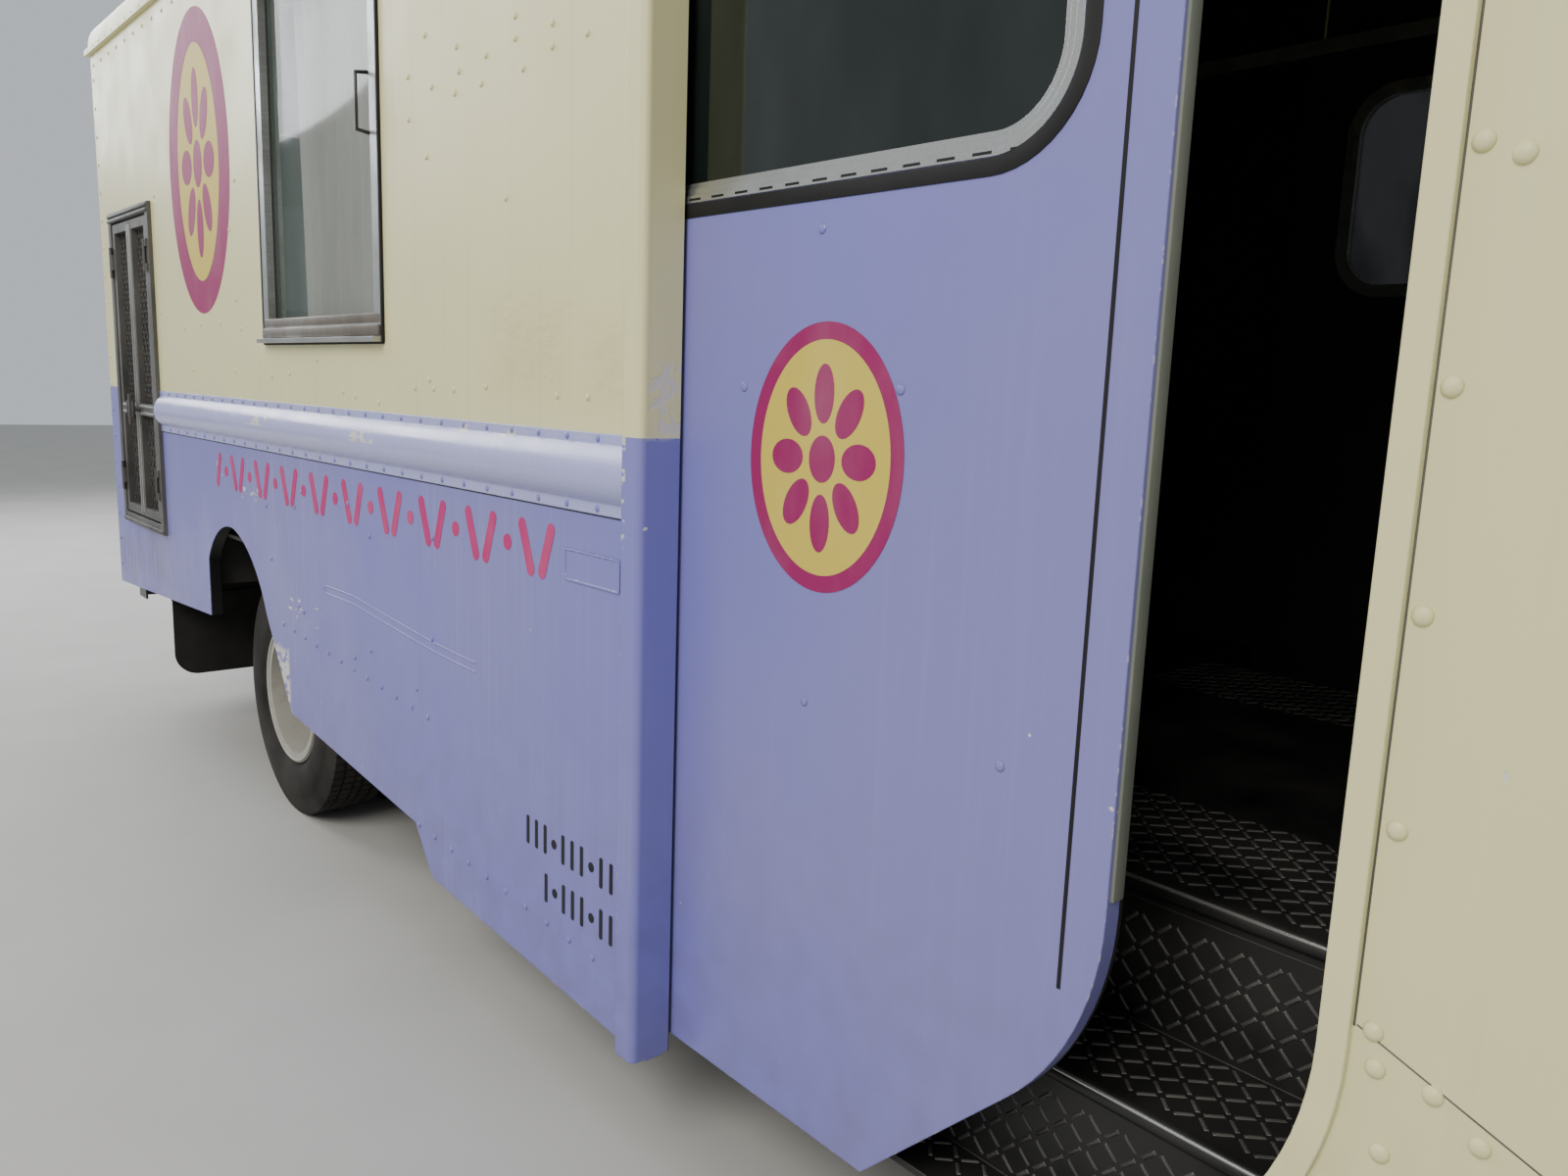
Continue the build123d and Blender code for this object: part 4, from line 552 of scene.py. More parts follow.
# the side panes' near black green and the serving pane's grey green veil are painted reflection of dark green
# trees
sideGlass = windowGlass("floatGlassPaintedReflection", "0d1613", 0.80, film="5c625e")
servingGlass = windowGlass("clearFloatGlass", "5e6c63", 0.27)
cabGlass = windowGlass("clearLaminatedGlass", "1c2622", 0.40)
lampGlass = windowGlass("headlampGlassPressed", "dfe3e2", 0.30)
amberLens = mouldedLens("amberAcrylicMoulded", "d06c10")
redLens = mouldedLens("redAcrylicMoulded", "96120d")
seatVinyl = grainedPlastic("blackVinylEmbossed", "232327", 0.5)
dashPlastic = grainedPlastic("greyPlasticMoulded", "333437", 0.62, 300)
wheelPlastic = grainedPlastic("blackPlasticMoulded", "151518", 0.38, 420)
dialWhite = printedFilm("dialEnamelPrinted", "c9c7bd")
curtainCloth = sheerCloth("polyesterVoileWoven")
magentaFilm = printedFilm("magentaVinylFilmCut", "8e1759")
yellowFilm = printedFilm("yellowVinylFilmCut", "c9b54c")
pinkFilm = printedFilm("pinkVinylFilmCut", "b3216a")
blackFilm = printedFilm("blackVinylFilmCut", "141417", "5a5866")
print("materials made")


def both(*names):
    return tuple(name + side for name in names for side in ("_right", "_left"))


finishes = {
    twoTone: ("rear_wall", *both("side_wall", "rear_door")),
    creamCab: ("cab_shell",),
    cream: ("hood", "roof"),
    lavender: both("sliding_door"),
    beltEnamel: ("belt_mouldings",),
    chassisBlack: ("frame_rails", "leaf_springs", "fuel_tank", "front_axle", "rear_axle", "wheelhouses"),
    castSteel: ("engine_block", "tie_rod", *both("knuckle")),
    exhaustSteel: ("exhaust",),
    wheelGrey: both("front_rim", "rear_rims"),
    tyreRubber: both("front_tyre", "rear_tyres"),
    flapRubber: ("mud_flaps",),
    bumperBlack: ("front_bumper", "rear_bumper"),
    bayGrey: ("mesh_bay", "mesh_door_front", "mesh_door_rear"),
    bareAluminium: ("serving_window", "door_tracks", "grille_panel"),
    sashAluminium: both("sliding_sash"),
    servingGlass: ("serving_glass",),
    sideGlass: both("sliding_glass", "rear_glass"),
    cabGlass: ("cab_glass",),
    lampGlass: ("headlamps",),
    amberLens: ("clearance_lamps",),
    redLens: ("tail_lamps",),
    mirrorSteel: ("mirrors",),
    checkerplate: ("step_wells", "floor"),
    dashPlastic: ("dashboard", "engine_cover"),
    wheelPlastic: ("steering_wheel", "driver_seat"),
    seatVinyl: ("seat_cushions",),
    curtainCloth: ("curtain",),
}
for material, names in finishes.items():
    for name in names:
        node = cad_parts[name]
        node.data.materials.clear()
        node.data.materials.append(material)
print("frame painted")


# Fasteners: the wall's rivets, in rows along belt and skirt and scattered where fittings inside are held
rivets = {"radius": 0.0072, "height": 0.0040, "columnY": 3.215, "railX": 1.166, "railZ": 2.711,
    "rearRows": (0.765, 1.085), "lampZ": 1.045, "lampHalf": 0.16, "lampX": 0.9}
# columns: x, first y, last y, pitch, z at y = 0, rise per metre rearwards
wallRows = ((1.1525, -0.610, 2.415, 0.110, 1.367, 0), (1.1525, -0.610, 2.415, 0.110, 1.239, 0),
    (sideX, 0.140, 1.150, 0.090, 0.655, 0.05), (sideX, -0.69, 0.20, 0.090, 0.366, 0.03),
    (sideX, -0.70, 3.20, 0.13, 2.655, 0))
strayRivets = ((0.10, 2.19), (-0.05, 2.14), (-0.06, 2.09), (-0.04, 2.05), (-0.18, 2.10), (-0.16, 2.05),
    (-0.30, 2.15), (-0.30, 2.11), (-0.33, 2.05), (-0.44, 2.11), (-0.44, 2.07), (-0.56, 2.07), (-0.71, 2.08),
    (0.19, 2.12), (0.19, 2.03), (0.07, 2.08), (0.10, 1.94), (-0.26, 1.82), (0.10, 1.46), (0.18, 1.44),
    (0.08, 1.44), (-0.02, 1.44), (-0.17, 1.45), (-0.46, 1.44), (-0.57, 1.44), (1.48, 1.68), (1.44, 1.59),
    (1.65, 1.61), (1.87, 1.61), (2.07, 1.60), (1.98, 1.46), (1.52, 1.46), (1.17, 1.45), (1.02, 1.46),
    (0.80, 1.50), (0.62, 1.42), (0.54, 1.41), (0.39, 1.40), (2.38, 2.07), (2.37, 1.66), (1.52, 1.89),
    (1.45, 2.03), (1.02, 1.08), (1.27, 1.06), (1.24, 0.90), (0.47, 1.06), (0.96, 1.13), (0.10, 1.10),
    (0.61, 1.13), (0.11, 0.86), (1.01, 0.79), (0.97, 0.78), (0.48, 0.76), (0.59, 0.72), (0.20, 0.72))


def steps(start, end, pitch):
    # evenly spaced values from start to end, as near to the pitch as comes out
    count = max(1, round((end - start) / pitch))
    return [start + (end - start) * i / count for i in range(count + 1)]


wallPlaces = [((curb * sideX, y, z), (curb, 0, 0)) for y, z in strayRivets]
for side in (curb, driver):
    out = (side, 0, 0)
    wallPlaces += [((side * x, y, z + rise * y), out) for x, first, last, pitch, z, rise in wallRows
        for y in steps(first, last, pitch)]
    wallPlaces += [((side * sideX, rivets["columnY"], z), out) for z in steps(0.62, 2.60, 0.11)]
settle(strew(addDome(rivets["radius"], rivets["height"]), wallPlaces), "wall_rivets", twoTone,
    60)

railPlaces = [((side * rivets["railX"], y, rivets["railZ"]), (side, 0, 0)) for side in (curb, driver)
    for y in steps(-2.74, 3.22, 0.105)]
settle(strew(addDome(0.0045, 0.0022, 8), railPlaces), "drip_rail_rivets", cream, 60)

rearPlaces = [((side * x, rearY, z), (0, 1, 0)) for side in (curb, driver) for x in rivets["rearRows"]
    for z in steps(0.60, 2.62, 0.115) if abs(z - rivets["lampZ"]) > rivets["lampHalf"] or x < rivets["lampX"]]
rearPlaces += [((x, rearY, z), (0, 1, 0)) for x in steps(-0.65, 0.65, 0.13) for z in (0.60, 2.545)]
settle(strew(addDome(rivets["radius"], rivets["height"]), rearPlaces), "rear_wall_rivets", twoTone,
    60)

# Big dome heads down the cab's column and its diagonal gusset, painted over
columnRivets = {"radius": 0.0105, "height": 0.0062, "x": 1.150}
columnSpots = ((-2.036, 1.704), (-2.070, 1.690), (-2.036, 1.492), (-2.036, 1.281), (-2.038, 1.071),
    (-2.040, 0.862), (-2.046, 0.825), (-2.100, 0.823), (-2.145, 0.793), (-2.060, 0.740), (-2.036, 1.915),
    (-2.036, 2.120), (-2.036, 2.325))
columnPlaces = [((side * columnRivets["x"], y, z), (side, 0, 0)) for side in (curb, driver)
    for y, z in columnSpots]
settle(strew(addDome(columnRivets["radius"], columnRivets["height"], 16), columnPlaces), "cab_dome_rivets",
    cream, 60)
seamLines = []
for side in (curb, driver):
    x = side * (sideX - 0.0006)
    seamLines.append(drawLine([(x, -2.024, 0.862), (x, -2.218, 0.784)], radius=0.0013, rounds=1))
    seamLines.append(drawLine([(x, -2.0215, 2.36), (x, -2.0215, 0.86)], radius=0.0014, rounds=1))
settle(seamLines, "cab_seams", bayGrey)
print("fasteners done")


# Cab front: windshield rubbers, quarter windows, wipers, lamp bezels, hood pulls
front = {"cowlY": -3.000, "cowlZ": 1.500, "rake": 0.175, "paneX": 0.515, "paneW": 1.006, "low": 1.600,
    "high": 2.520, "band": 0.032, "proud": 0.007, "bulge": 0.018, "over": 0.040, "corner": 0.050}
rakeOut = (0, -1, front["rake"])


def frontPoint(x, z, out=0.0):
    # a point on the raked front, moved out from it
    length = math.hypot(1, front["rake"])
    return Vector((x, front["cowlY"] + front["rake"] * (z - front["cowlZ"]) - out / length,
        z + out * front["rake"] / length))


def addWindshieldRubber(side):
    tall = (front["high"] - front["low"]) * math.hypot(1, front["rake"]) + front["over"]
    ring = addPlate((front["paneW"], tall), front["corner"], front["bulge"], front["band"], 0.005)
    return stand(ring, frontPoint(side * front["paneX"], (front["low"] + front["high"]) / 2, front["proud"]),
        rakeOut)


settle([addWindshieldRubber(side) for side in (curb, driver)], "windshield_rubbers", gasketRubber)

quarter = {"y": (-2.660, -2.210), "z": (1.680, 2.360), "radius": 0.045, "rubber": 0.011}
quarterRings = []
for side in (curb, driver):
    x = side * (sideX - 0.001)
    lean = front["rake"] * (quarter["z"][1] - quarter["z"][0])
    corners = [(x, quarter["y"][0], quarter["z"][0]), (x, quarter["y"][1], quarter["z"][0]),
        (x, quarter["y"][1], quarter["z"][1]), (x, quarter["y"][0] + lean, quarter["z"][1])]
    quarterRings.append(drawLine(roundedLoop(corners, quarter["radius"]), True, quarter["rubber"], 3))
settle(quarterRings, "quarter_window_rubbers", gasketRubber, 50)

wiper = {"pivotX": 0.62, "pivotZ": 1.560, "armR": 0.0055, "bladeL": 0.44, "bladeZ": 1.650, "tipX": 0.29,
    "foot": -0.004, "head": 0.030, "headR": 0.015, "bladeOut": -0.0135, "rise": 0.02,
    "lift": Vector((0, -0.006, 0)), "carrierR": 0.0035, "bladeR": 0.006}
wiperMetal, wiperRubber = [], []
for side in (curb, driver):
    pivot = frontPoint(side * wiper["pivotX"], wiper["pivotZ"], wiper["foot"])
    knuckle = frontPoint(side * wiper["pivotX"], wiper["pivotZ"], wiper["head"])
    tip = frontPoint(side * wiper["tipX"], wiper["bladeZ"], -0.001)
    wiperMetal.append(addRod(pivot, knuckle, wiper["headR"], 20, 0.003))
    wiperMetal.append(drawLine([knuckle, knuckle.lerp(tip, 0.25) + Vector((0, -0.008, 0.012)), tip],
        radius=wiper["armR"]))
    ends = [frontPoint(side * (wiper["tipX"] + way * wiper["bladeL"] / 2),
        wiper["bladeZ"] + wiper["rise"] * way, wiper["bladeOut"]) for way in (-1, 1)]
    wiperMetal.append(drawLine([ends[0] + wiper["lift"], tip, ends[1] + wiper["lift"]],
        radius=wiper["carrierR"]))
    wiperRubber.append(drawLine(ends, radius=wiper["bladeR"], rounds=2))
settle(wiperMetal, "wiper_arms", bareAluminium, 50)
settle(wiperRubber, "wiper_blades", gasketRubber, 50)

lamp = {"x": 0.800, "z": 0.930, "y": -3.2615, "ring": 0.224, "band": 0.020, "bowl": 0.080, "flat": 0.34,
    "bowlY": -3.252, "screws": 0.102}
bezels, bowls = [], []
for side in (curb, driver):
    spot = (side * lamp["x"], lamp["y"] - 0.006, lamp["z"])
    bezels.append(stand(addOval((lamp["ring"], lamp["ring"]), 0.012, lamp["band"], 0.004), spot, (0, -1, 0)))
    for angle in (45, 135, 225, 315):
        turn = math.radians(angle)
        screw = Vector((spot[0] + lamp["screws"] * math.cos(turn), spot[1],
            spot[2] + lamp["screws"] * math.sin(turn)))
        bezels.append(stand(addDome(0.005, 0.003, 12), screw, (0, -1, 0)))
    bowl = addDome(lamp["bowl"], lamp["bowl"] * lamp["flat"], 32, 16, 0, -1, False)
    bowls.append(stand(bowl, (spot[0], lamp["bowlY"], spot[2]), (0, -1, 0)))
settle(bezels, "headlamp_bezels", mirrorSteel, 50)
settle(bowls, "headlamp_reflectors", mirrorSteel, 60)

# Hood pulls, and the screws that hold the grille
hoodPull = {"x": 0.36, "z": 1.275, "wide": 0.11, "r": 0.007, "feetY": -3.250, "barY": -3.285}
pulls = []
for side in (curb, driver):
    ends = [side * hoodPull["x"] + way * hoodPull["wide"] / 2 for way in (-1, 1)]
    loop = [(x, y, hoodPull["z"]) for x, y in ((ends[0], hoodPull["feetY"]), (ends[0], hoodPull["barY"]),
        (ends[1], hoodPull["barY"]), (ends[1], hoodPull["feetY"]))]
    pulls.append(drawLine(loop, radius=hoodPull["r"]))
settle(pulls, "hood_pulls", bareAluminium, 50, body="hood")
grilleScrews = [((x, -3.260, z), (0, -1, 0)) for x in steps(-0.545, 0.545, 0.18) for z in (0.715, 1.165)]
settle(strew(addDome(0.006, 0.003), grilleScrews), "grille_screws", bareAluminium, 60)
print("cab front done")


# Curb-side wall: signs, blank plate, creases
sign = {"thick": 0.0006, "wallPlace": (-sideX - filmOut, 1.82, 2.12), "wallSize": (0.66, 0.95),
    "wallBand": 0.105, "doorPlace": (-doorX - filmOut, -1.140, 1.365), "doorSize": (0.34, 0.41),
    "doorBand": 0.026}


def addSign(place, size, band, body, name, petals=8):
    # ring, field and a plain flower of round petals, each its own cut of film
    ring = stand(addOval(size, sign["thick"], band), place, (curb, 0, 0))
    field = stand(addOval((size[0] - 2 * band, size[1] - 2 * band), sign["thick"]), place, (curb, 0, 0))
    settle(ring, name + "_ring", magentaFilm, body=body)
    settle(field, name + "_field", yellowFilm, body=body)
    wide, tall = size[0] - 2 * band, size[1] - 2 * band
    marks = [addOval((0.20, 0.20), sign["thick"], sides=32)]
    for i in range(petals):
        petal = addOval((0.15, 0.25), sign["thick"], sides=24)
        petal.matrix_world = Matrix.Rotation(2 * math.pi * i / petals, 4,
            "Z") @ Matrix.Translation((0, 0.275, 0))
        marks.append(placeInMesh(petal))
    # drawn in a circle one metre wide, then stretched to the field
    flower = mergeAll(marks)
    flower.scale = (wide, tall, 1)
    placeInMesh(flower)
    stand(flower, Vector(place) + Vector((curb * sign["thick"], 0, 0)), (curb, 0, 0))
    settle(flower, name + "_flower", magentaFilm, body=body)


addSign(sign["wallPlace"], sign["wallSize"], sign["wallBand"], "chassis", "wall_sign")
addSign(sign["doorPlace"], sign["doorSize"], sign["doorBand"], "sliding_door_right", "door_sign")

# A row of slanting strokes and dots under the belt
strokes = {"start": -0.42, "end": 1.74, "pitch": 0.080, "z": 1.135, "size": (0.029, 0.122), "dot": 0.034,
    "tilt": 0.38}
marks = []
for i, y in enumerate(steps(strokes["start"], strokes["end"], strokes["pitch"])):
    spot = (-sideX - filmOut, y, strokes["z"])
    if i % 3 == 2:
        marks.append(stand(addOval((strokes["dot"], strokes["dot"]), sign["thick"], sides=24), spot,
            (curb, 0, 0)))
    else:
        bar = addPlate(strokes["size"], strokes["size"][0] * 0.49, sign["thick"])
        marks.append(stand(bar, spot, (curb, 0, 0), strokes["tilt"] * (1 if i % 3 else -1)))
settle(marks, "wall_strokes", pinkFilm)

# Two rows of small black bars and dots low down by the post
ticks = {"rows": ((0.535, -0.700, -0.345), (0.430, -0.700, -0.420)), "pitch": 0.0355, "size": (0.0115, 0.062),
    "dot": 0.020}
marks = []
for z, start, end in ticks["rows"]:
    for i, y in enumerate(steps(start, end, ticks["pitch"])):
        spot = (-sideX - filmOut, y, z)
        small = i % 4 == 3
        bar = addOval((ticks["dot"], ticks["dot"]), sign["thick"],
            sides=20) if small else addPlate(ticks["size"], 0.004, sign["thick"], sides=3)
        marks.append(stand(bar, spot, (curb, 0, 0)))
settle(marks, "wall_ticks", blackFilm)

blank = {"size": (0.193, 0.063), "corner": 0.006, "rim": 0.004, "place": (-sideX, -0.588, 1.121)}
plate = stand(addPlate(blank["size"], blank["corner"], 0.003),
    Vector(blank["place"]) + Vector((-0.0012, 0, 0)), (curb, 0, 0))
rim = stand(addPlate(blank["size"], blank["corner"], 0.004, blank["rim"], 0.0008),
    Vector(blank["place"]) + Vector((-0.0026, 0, 0)), (curb, 0, 0))
settle([plate, rim], "blank_plate", twoTone)

# A black line in the joint under each belt: painted shade of the gap
joint = {"x": sideX + 0.0006, "frontY": -0.729, "z": 1.2268, "r": 0.0019}
beltGapShade = [drawLine([(side * joint["x"], joint["frontY"], joint["z"]), (side * joint["x"], endY, joint["z"])],
    radius=joint["r"], rounds=1) for side, endY in ((curb, 2.434), (driver, 2.468))]
settle(beltGapShade, "belt_gap_shade", gasketRubber)

# Two creases knocked into the lower wall, drawn as shallow ridges from a small hole
crease = {"line": ((0.79, 0.884), (0.59, 0.886), (0.41, 0.872), (0.20, 0.858), (0.11, 0.852), (-0.01, 0.848),
    (-0.11, 0.846)), "sunk": 0.0022, "r": 0.0034, "drops": (0, -0.021), "hole": (0.80, 0.874),
    "holeSize": (0.014, 0.014)}
ridges = [drawLine([(-sideX + crease["sunk"], y, z + drop) for y, z in crease["line"]], radius=crease["r"],
    rounds=2) for drop in crease["drops"]]
ridges.append(stand(addOval(crease["holeSize"], 0.003, 0.003, 0.001, 20), (-sideX - 0.001, *crease["hole"]),
    (curb, 0, 0)))
settle(ridges, "wall_creases", twoTone, 60)
print("curb side done")


# Sliding doors: window rubber, drain slots, front strip, rivets
door = {"frontY": {curb: -1.693, driver: -1.998}, "holeFromFront": 0.130, "hole": (0.965, 0.560, 0.130),
    "holeLow": 1.770, "band": 0.024, "proud": 0.0018, "low": 0.250, "high": 2.428, "slotSpan": 0.40,
    "slotPitch": 0.062, "slotHalf": 0.016, "heads": ((0.573, 1.705), (0.746, 1.469), (0.397, 1.473),
    (0.573, 0.98), (0.18, 0.98), (0.97, 0.98))}
for side, name in ((curb, "right"), (driver, "left")):
    body = "sliding_door_" + name
    middleY = door["frontY"][side] + door["holeFromFront"] + door["hole"][0] / 2
    middleZ = door["holeLow"] + door["hole"][1] / 2
    out = (side, 0, 0)
    rubber = addPlate((door["hole"][0] + 2 * door["band"], door["hole"][1] + 2 * door["band"]),
        door["hole"][2] + door["band"], 0.006, door["band"] - 0.001, 0.0008, 12)
    settle(stand(rubber, (side * (doorX + door["proud"]), middleY, middleZ), out),
        "door_window_rubber_" + name, gasketRubber, body=body)
    slotYs = steps(middleY - door["slotSpan"], middleY + door["slotSpan"], door["slotPitch"])
    slots = [addBlock((side * (doorX + 0.0016), y - door["slotHalf"], door["holeLow"] + 0.0035),
        (side * (doorX + 0.0005), y + door["slotHalf"], door["holeLow"] + 0.0075)) for y in slotYs]
    settle(slots, "door_drain_slots_" + name, gasketRubber, body=body)
    frontY = door["frontY"][side]
    seam = addBlock((side * (doorX - 0.004), frontY + 0.058, door["low"] + 0.46),
        (side * (doorX + 0.0006), frontY + 0.064, door["high"] - 0.02))
    settle(seam, "door_edge_seam_" + name, gasketRubber, body=body)
    strip = addBlock((side * (doorX - 0.030), frontY - 0.0045, door["low"] + 0.60),
        (side * (doorX - 0.006), frontY + 0.002, door["high"] - 0.07), 0.002)
    settle(strip, "door_front_strip_" + name, greyStrip, body=body)
    heads = [((side * doorX, frontY + along, z), out) for along, z in door["heads"]]
    settle(strew(addDome(0.0085, 0.0019, 14), heads), "door_rivets_" + name, lavender, 60,
        body=body)
print("sliding doors done")


# Serving window: edge rubber, sill strips, bar handle, drawn curtain
serving = {"y": (0.350, 1.210), "z": (1.545, 2.550), "x": -1.156, "innerX": -1.1345}
middle = (serving["x"], sum(serving["y"]) / 2, sum(serving["z"]) / 2)
size = (serving["y"][1] - serving["y"][0], serving["z"][1] - serving["z"][0])
edgeRubber = stand(addPlate((size[0] + 0.010, size[1] + 0.010), 0.008, 0.007, 0.009, 0.002),
    (serving["x"] - 0.0012, middle[1], middle[2]), (curb, 0, 0))
innerRubber = stand(addPlate((size[0] - 0.082, size[1] - 0.082), 0.010, 0.016, 0.008, 0.002),
    (serving["innerX"], middle[1], middle[2]), (curb, 0, 0))
settle([edgeRubber, innerRubber], "serving_window_rubbers", gasketRubber)
sills = []
for low, high, out in ((1.560, 1.588, 0.0075), (1.5895, 1.616, 0.0005)):
    sills.append(addBlock((serving["x"] + 0.004, serving["y"][0] + 0.008, low),
        (serving["x"] - out, serving["y"][1] - 0.008, high - 0.002), 0.0025))
settle(sills, "serving_window_sills", brownAluminium)
bar = {"y": 0.418, "z": (2.030, 2.170), "r": 0.005, "out": 0.022, "rootX": -1.134,
    "footX": (-1.1395, -1.1315), "bend": 0.006}
barX = serving["x"] - bar["out"]
grab = drawLine([(bar["rootX"], bar["y"], bar["z"][0]), (barX, bar["y"], bar["z"][0] + bar["bend"]),
    (barX, bar["y"], bar["z"][1] - bar["bend"]), (bar["rootX"], bar["y"], bar["z"][1])], radius=bar["r"])
feet = [addBlock((bar["footX"][0], bar["y"] - 0.011, z - 0.014),
    (bar["footX"][1], bar["y"] + 0.011, z + 0.014), 0.002) for z in bar["z"]]
settle([grab] + feet, "serving_window_handle", wheelPlastic, 50)

curtainCut = {"x": -1.065, "y": (0.392, 1.110), "z": (1.568, 2.478), "fold": 0.0140, "folds": 10,
    "across": 270, "down": 26}
(firstY, lastY), (hemZ, rodZ) = curtainCut["y"], curtainCut["z"]
drawn = (lastY - firstY, rodZ - hemZ)
drape = addShape(bpy.ops.mesh.primitive_grid_add, (*drawn, 1), size=1, x_subdivisions=curtainCut["across"],
    y_subdivisions=curtainCut["down"])
stand(drape, (curtainCut["x"], sum(curtainCut["y"]) / 2, sum(curtainCut["z"]) / 2), (curb, 0, 0))
for vertex in drape.data.vertices:
    # pleats: tight under the rod, looser and drifting towards the hem
    along = (vertex.co.y - firstY) / drawn[0]
    fall = (rodZ - vertex.co.z) / drawn[1]
    phase = 2 * math.pi * curtainCut["folds"] * along + 1.3 * math.sin(5.3 * along + 1.7 * fall) + 0.5 * fall
    vertex.co.x += curtainCut["fold"] * math.sin(phase) * (0.68 + 0.32 * math.sin(9 * along + 2.1 * fall))
rows = {}
for vertex in drape.data.vertices:
    rows.setdefault(round(vertex.co.z, 4), []).append(vertex.co)
widths = [sum((b - a).length for a, b in zip(row, row[1:]))
    for row in (sorted(r, key=lambda c: c.y) for r in rows.values())]
addModifier(drape, "SOLIDIFY", {"thickness": 0.0008, "offset": 0})
settle(drape, "window_curtain", curtainCloth, 70)
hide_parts("curtain")
print("serving window done")


# Mesh bay: header bars, light mid rails and inner stiles, two T-handles
bay = {"y": (2.435, 3.050), "z": (0.830, 2.060), "x": -1.164, "leafX": -1.160, "midZ": 1.2975}
bars = [addBlock((bay["x"] - 0.006, bay["y"][0] + 0.004, z),
    (bay["x"] + 0.004, bay["y"][1] - 0.004, z + 0.012), 0.003)
    for z in (bay["z"][1] - 0.018, bay["z"][1] - 0.036, bay["z"][0] + 0.006)]
settle(bars, "mesh_bay_bars", bayGrey)
# the flaps carried on up to the bearers as a dark sheet that closes the view through the arch: painted shade
# for the ground under the body, which lies in shadow
flapGapShade = {"x": (0.565, 1.0935), "y": (2.5945, 2.6055), "z": (0.572, 0.742)}
flapGapShades = [addBlock(*((side * flapGapShade["x"][i], flapGapShade["y"][i], flapGapShade["z"][i]) for i in (0, 1)), 0.002)
    for side in (curb, driver)]
settle(flapGapShades, "mud_flap_gap_shade", flapRubber)
wire = {"pitch": (0.023, 0.040), "r": 0.0017, "x": -1.1395, "openZ": ((0.908, 1.277), (1.318, 1.982)),
    "openY": {"front": (2.513, 2.7065), "rear": (2.7785, 2.972)}}


def crossedWires(low, high):
    # both slanting sets of strands of expanded metal, cut off at the opening's edges
    wide, tall = (high[0] - low[0]) / wire["pitch"][0], (high[1] - low[1]) / wire["pitch"][1]
    strands = []
    for way in (1, -1):
        for k in range(-int(tall), int(wide + tall) + 1):
            start, end = (max(0, k - wide), min(tall, k)) if way > 0 else (max(0, -k), min(tall, wide - k))
            if end - start > 0.1:
                ends = [(wire["x"], low[0] + (k - way * t) * wire["pitch"][0], low[1] + t * wire["pitch"][1])
                    for t in (start, end)]
                strands.append(addRod(*ends, wire["r"], 4))
    return strands


# each leaf's name, and its front and rear edge
for name, low, high in (("front", 2.477, 2.736), ("rear", 2.751, 3.009)):
    body = "mesh_door_" + name
    strands = []
    for openLow, openHigh in wire["openZ"]:
        openY = wire["openY"][name]
        strands += crossedWires((openY[0], openLow), (openY[1], openHigh))
    settle(strands, "mesh_leaf_wires_" + name, chassisBlack, body=body)
    inner, way = (high, -1) if name == "front" else (low, 1)
    lights = [addBlock((bay["leafX"] - 0.0035, low + 0.03, bay["midZ"] + z),
        (bay["leafX"] + 0.004, high - 0.03, bay["midZ"] + z + 0.009), 0.002) for z in (-0.018, 0.008)]
    stile = sorted((inner + way * 0.004, inner + way * 0.012))
    lights.append(addBlock((bay["leafX"] - 0.0035, stile[0], bay["z"][0] + 0.06),
        (bay["leafX"] + 0.004, stile[1], bay["z"][1] - 0.06), 0.002))
    settle(lights, "mesh_leaf_trim_" + name, bareAluminium, body=body)
    y = inner + way * 0.030
    stem = addRod((bay["leafX"] + 0.002, y, bay["midZ"]), (bay["leafX"] - 0.024, y, bay["midZ"]), 0.006, 14)
    cross = addRod((bay["leafX"] - 0.026, y, bay["midZ"] - 0.032),
        (bay["leafX"] - 0.026, y, bay["midZ"] + 0.032), 0.0065, 14, 0.003)
    settle([stem, cross], "mesh_leaf_handle_" + name, castSteel, 50, body=body)
print("mesh bay done")


# Steps: raised lugs of the tread plate, in two crossing directions
lugs = {"size": (0.030, 0.0075, 0.0020), "pitch": 0.029, "y": (-1.975, -0.800), "inset": 0.012, "let": 0.0004,
    "top": (0.72, 0.35, 1), "turn": 0.785, "nose": 0.0085, "noseR": 0.0036}
# columns: x and z of the first lug, on a riser or not, rows across
lugSheets = ((0.962, 0.280, False, 2), (0.768, 0.510, False, 6), (0.945, 0.300, True, 6),
    (0.750, 0.530, True, 6), (0.400, deckZ, False, 12))


def addLug():
    low = (-lugs["size"][0] / 2, -lugs["size"][1] / 2, -lugs["let"])
    piece = addBlock(low, (lugs["size"][0] / 2, lugs["size"][1] / 2, lugs["size"][2]))
    pickFaces(piece, lambda centre, normal: normal.z > 0.9)
    bpy.ops.transform.resize(value=lugs["top"])
    return piece


def plateLugs(corner, stepAlong, countAlong, stepAcross, countAcross, outward):
    # two arrays of one lug each way round, laid between each other like a chessboard
    sheets = []
    for odd, roll in ((0, lugs["turn"]), (1, -lugs["turn"])):
        for shift in (0, 1):
            spot = Vector(corner) + stepAlong * shift + stepAcross * ((shift + odd) % 2)
            lug = stand(addLug(), spot, outward, roll)
            for step, count in ((stepAlong, countAlong), (stepAcross, countAcross)):
                addModifier(lug, "ARRAY", {"count": max(1, count // 2), "use_relative_offset": False,
                    "use_constant_offset": True, "constant_offset_displace": step * 2})
            sheets.append(lug)
    return sheets


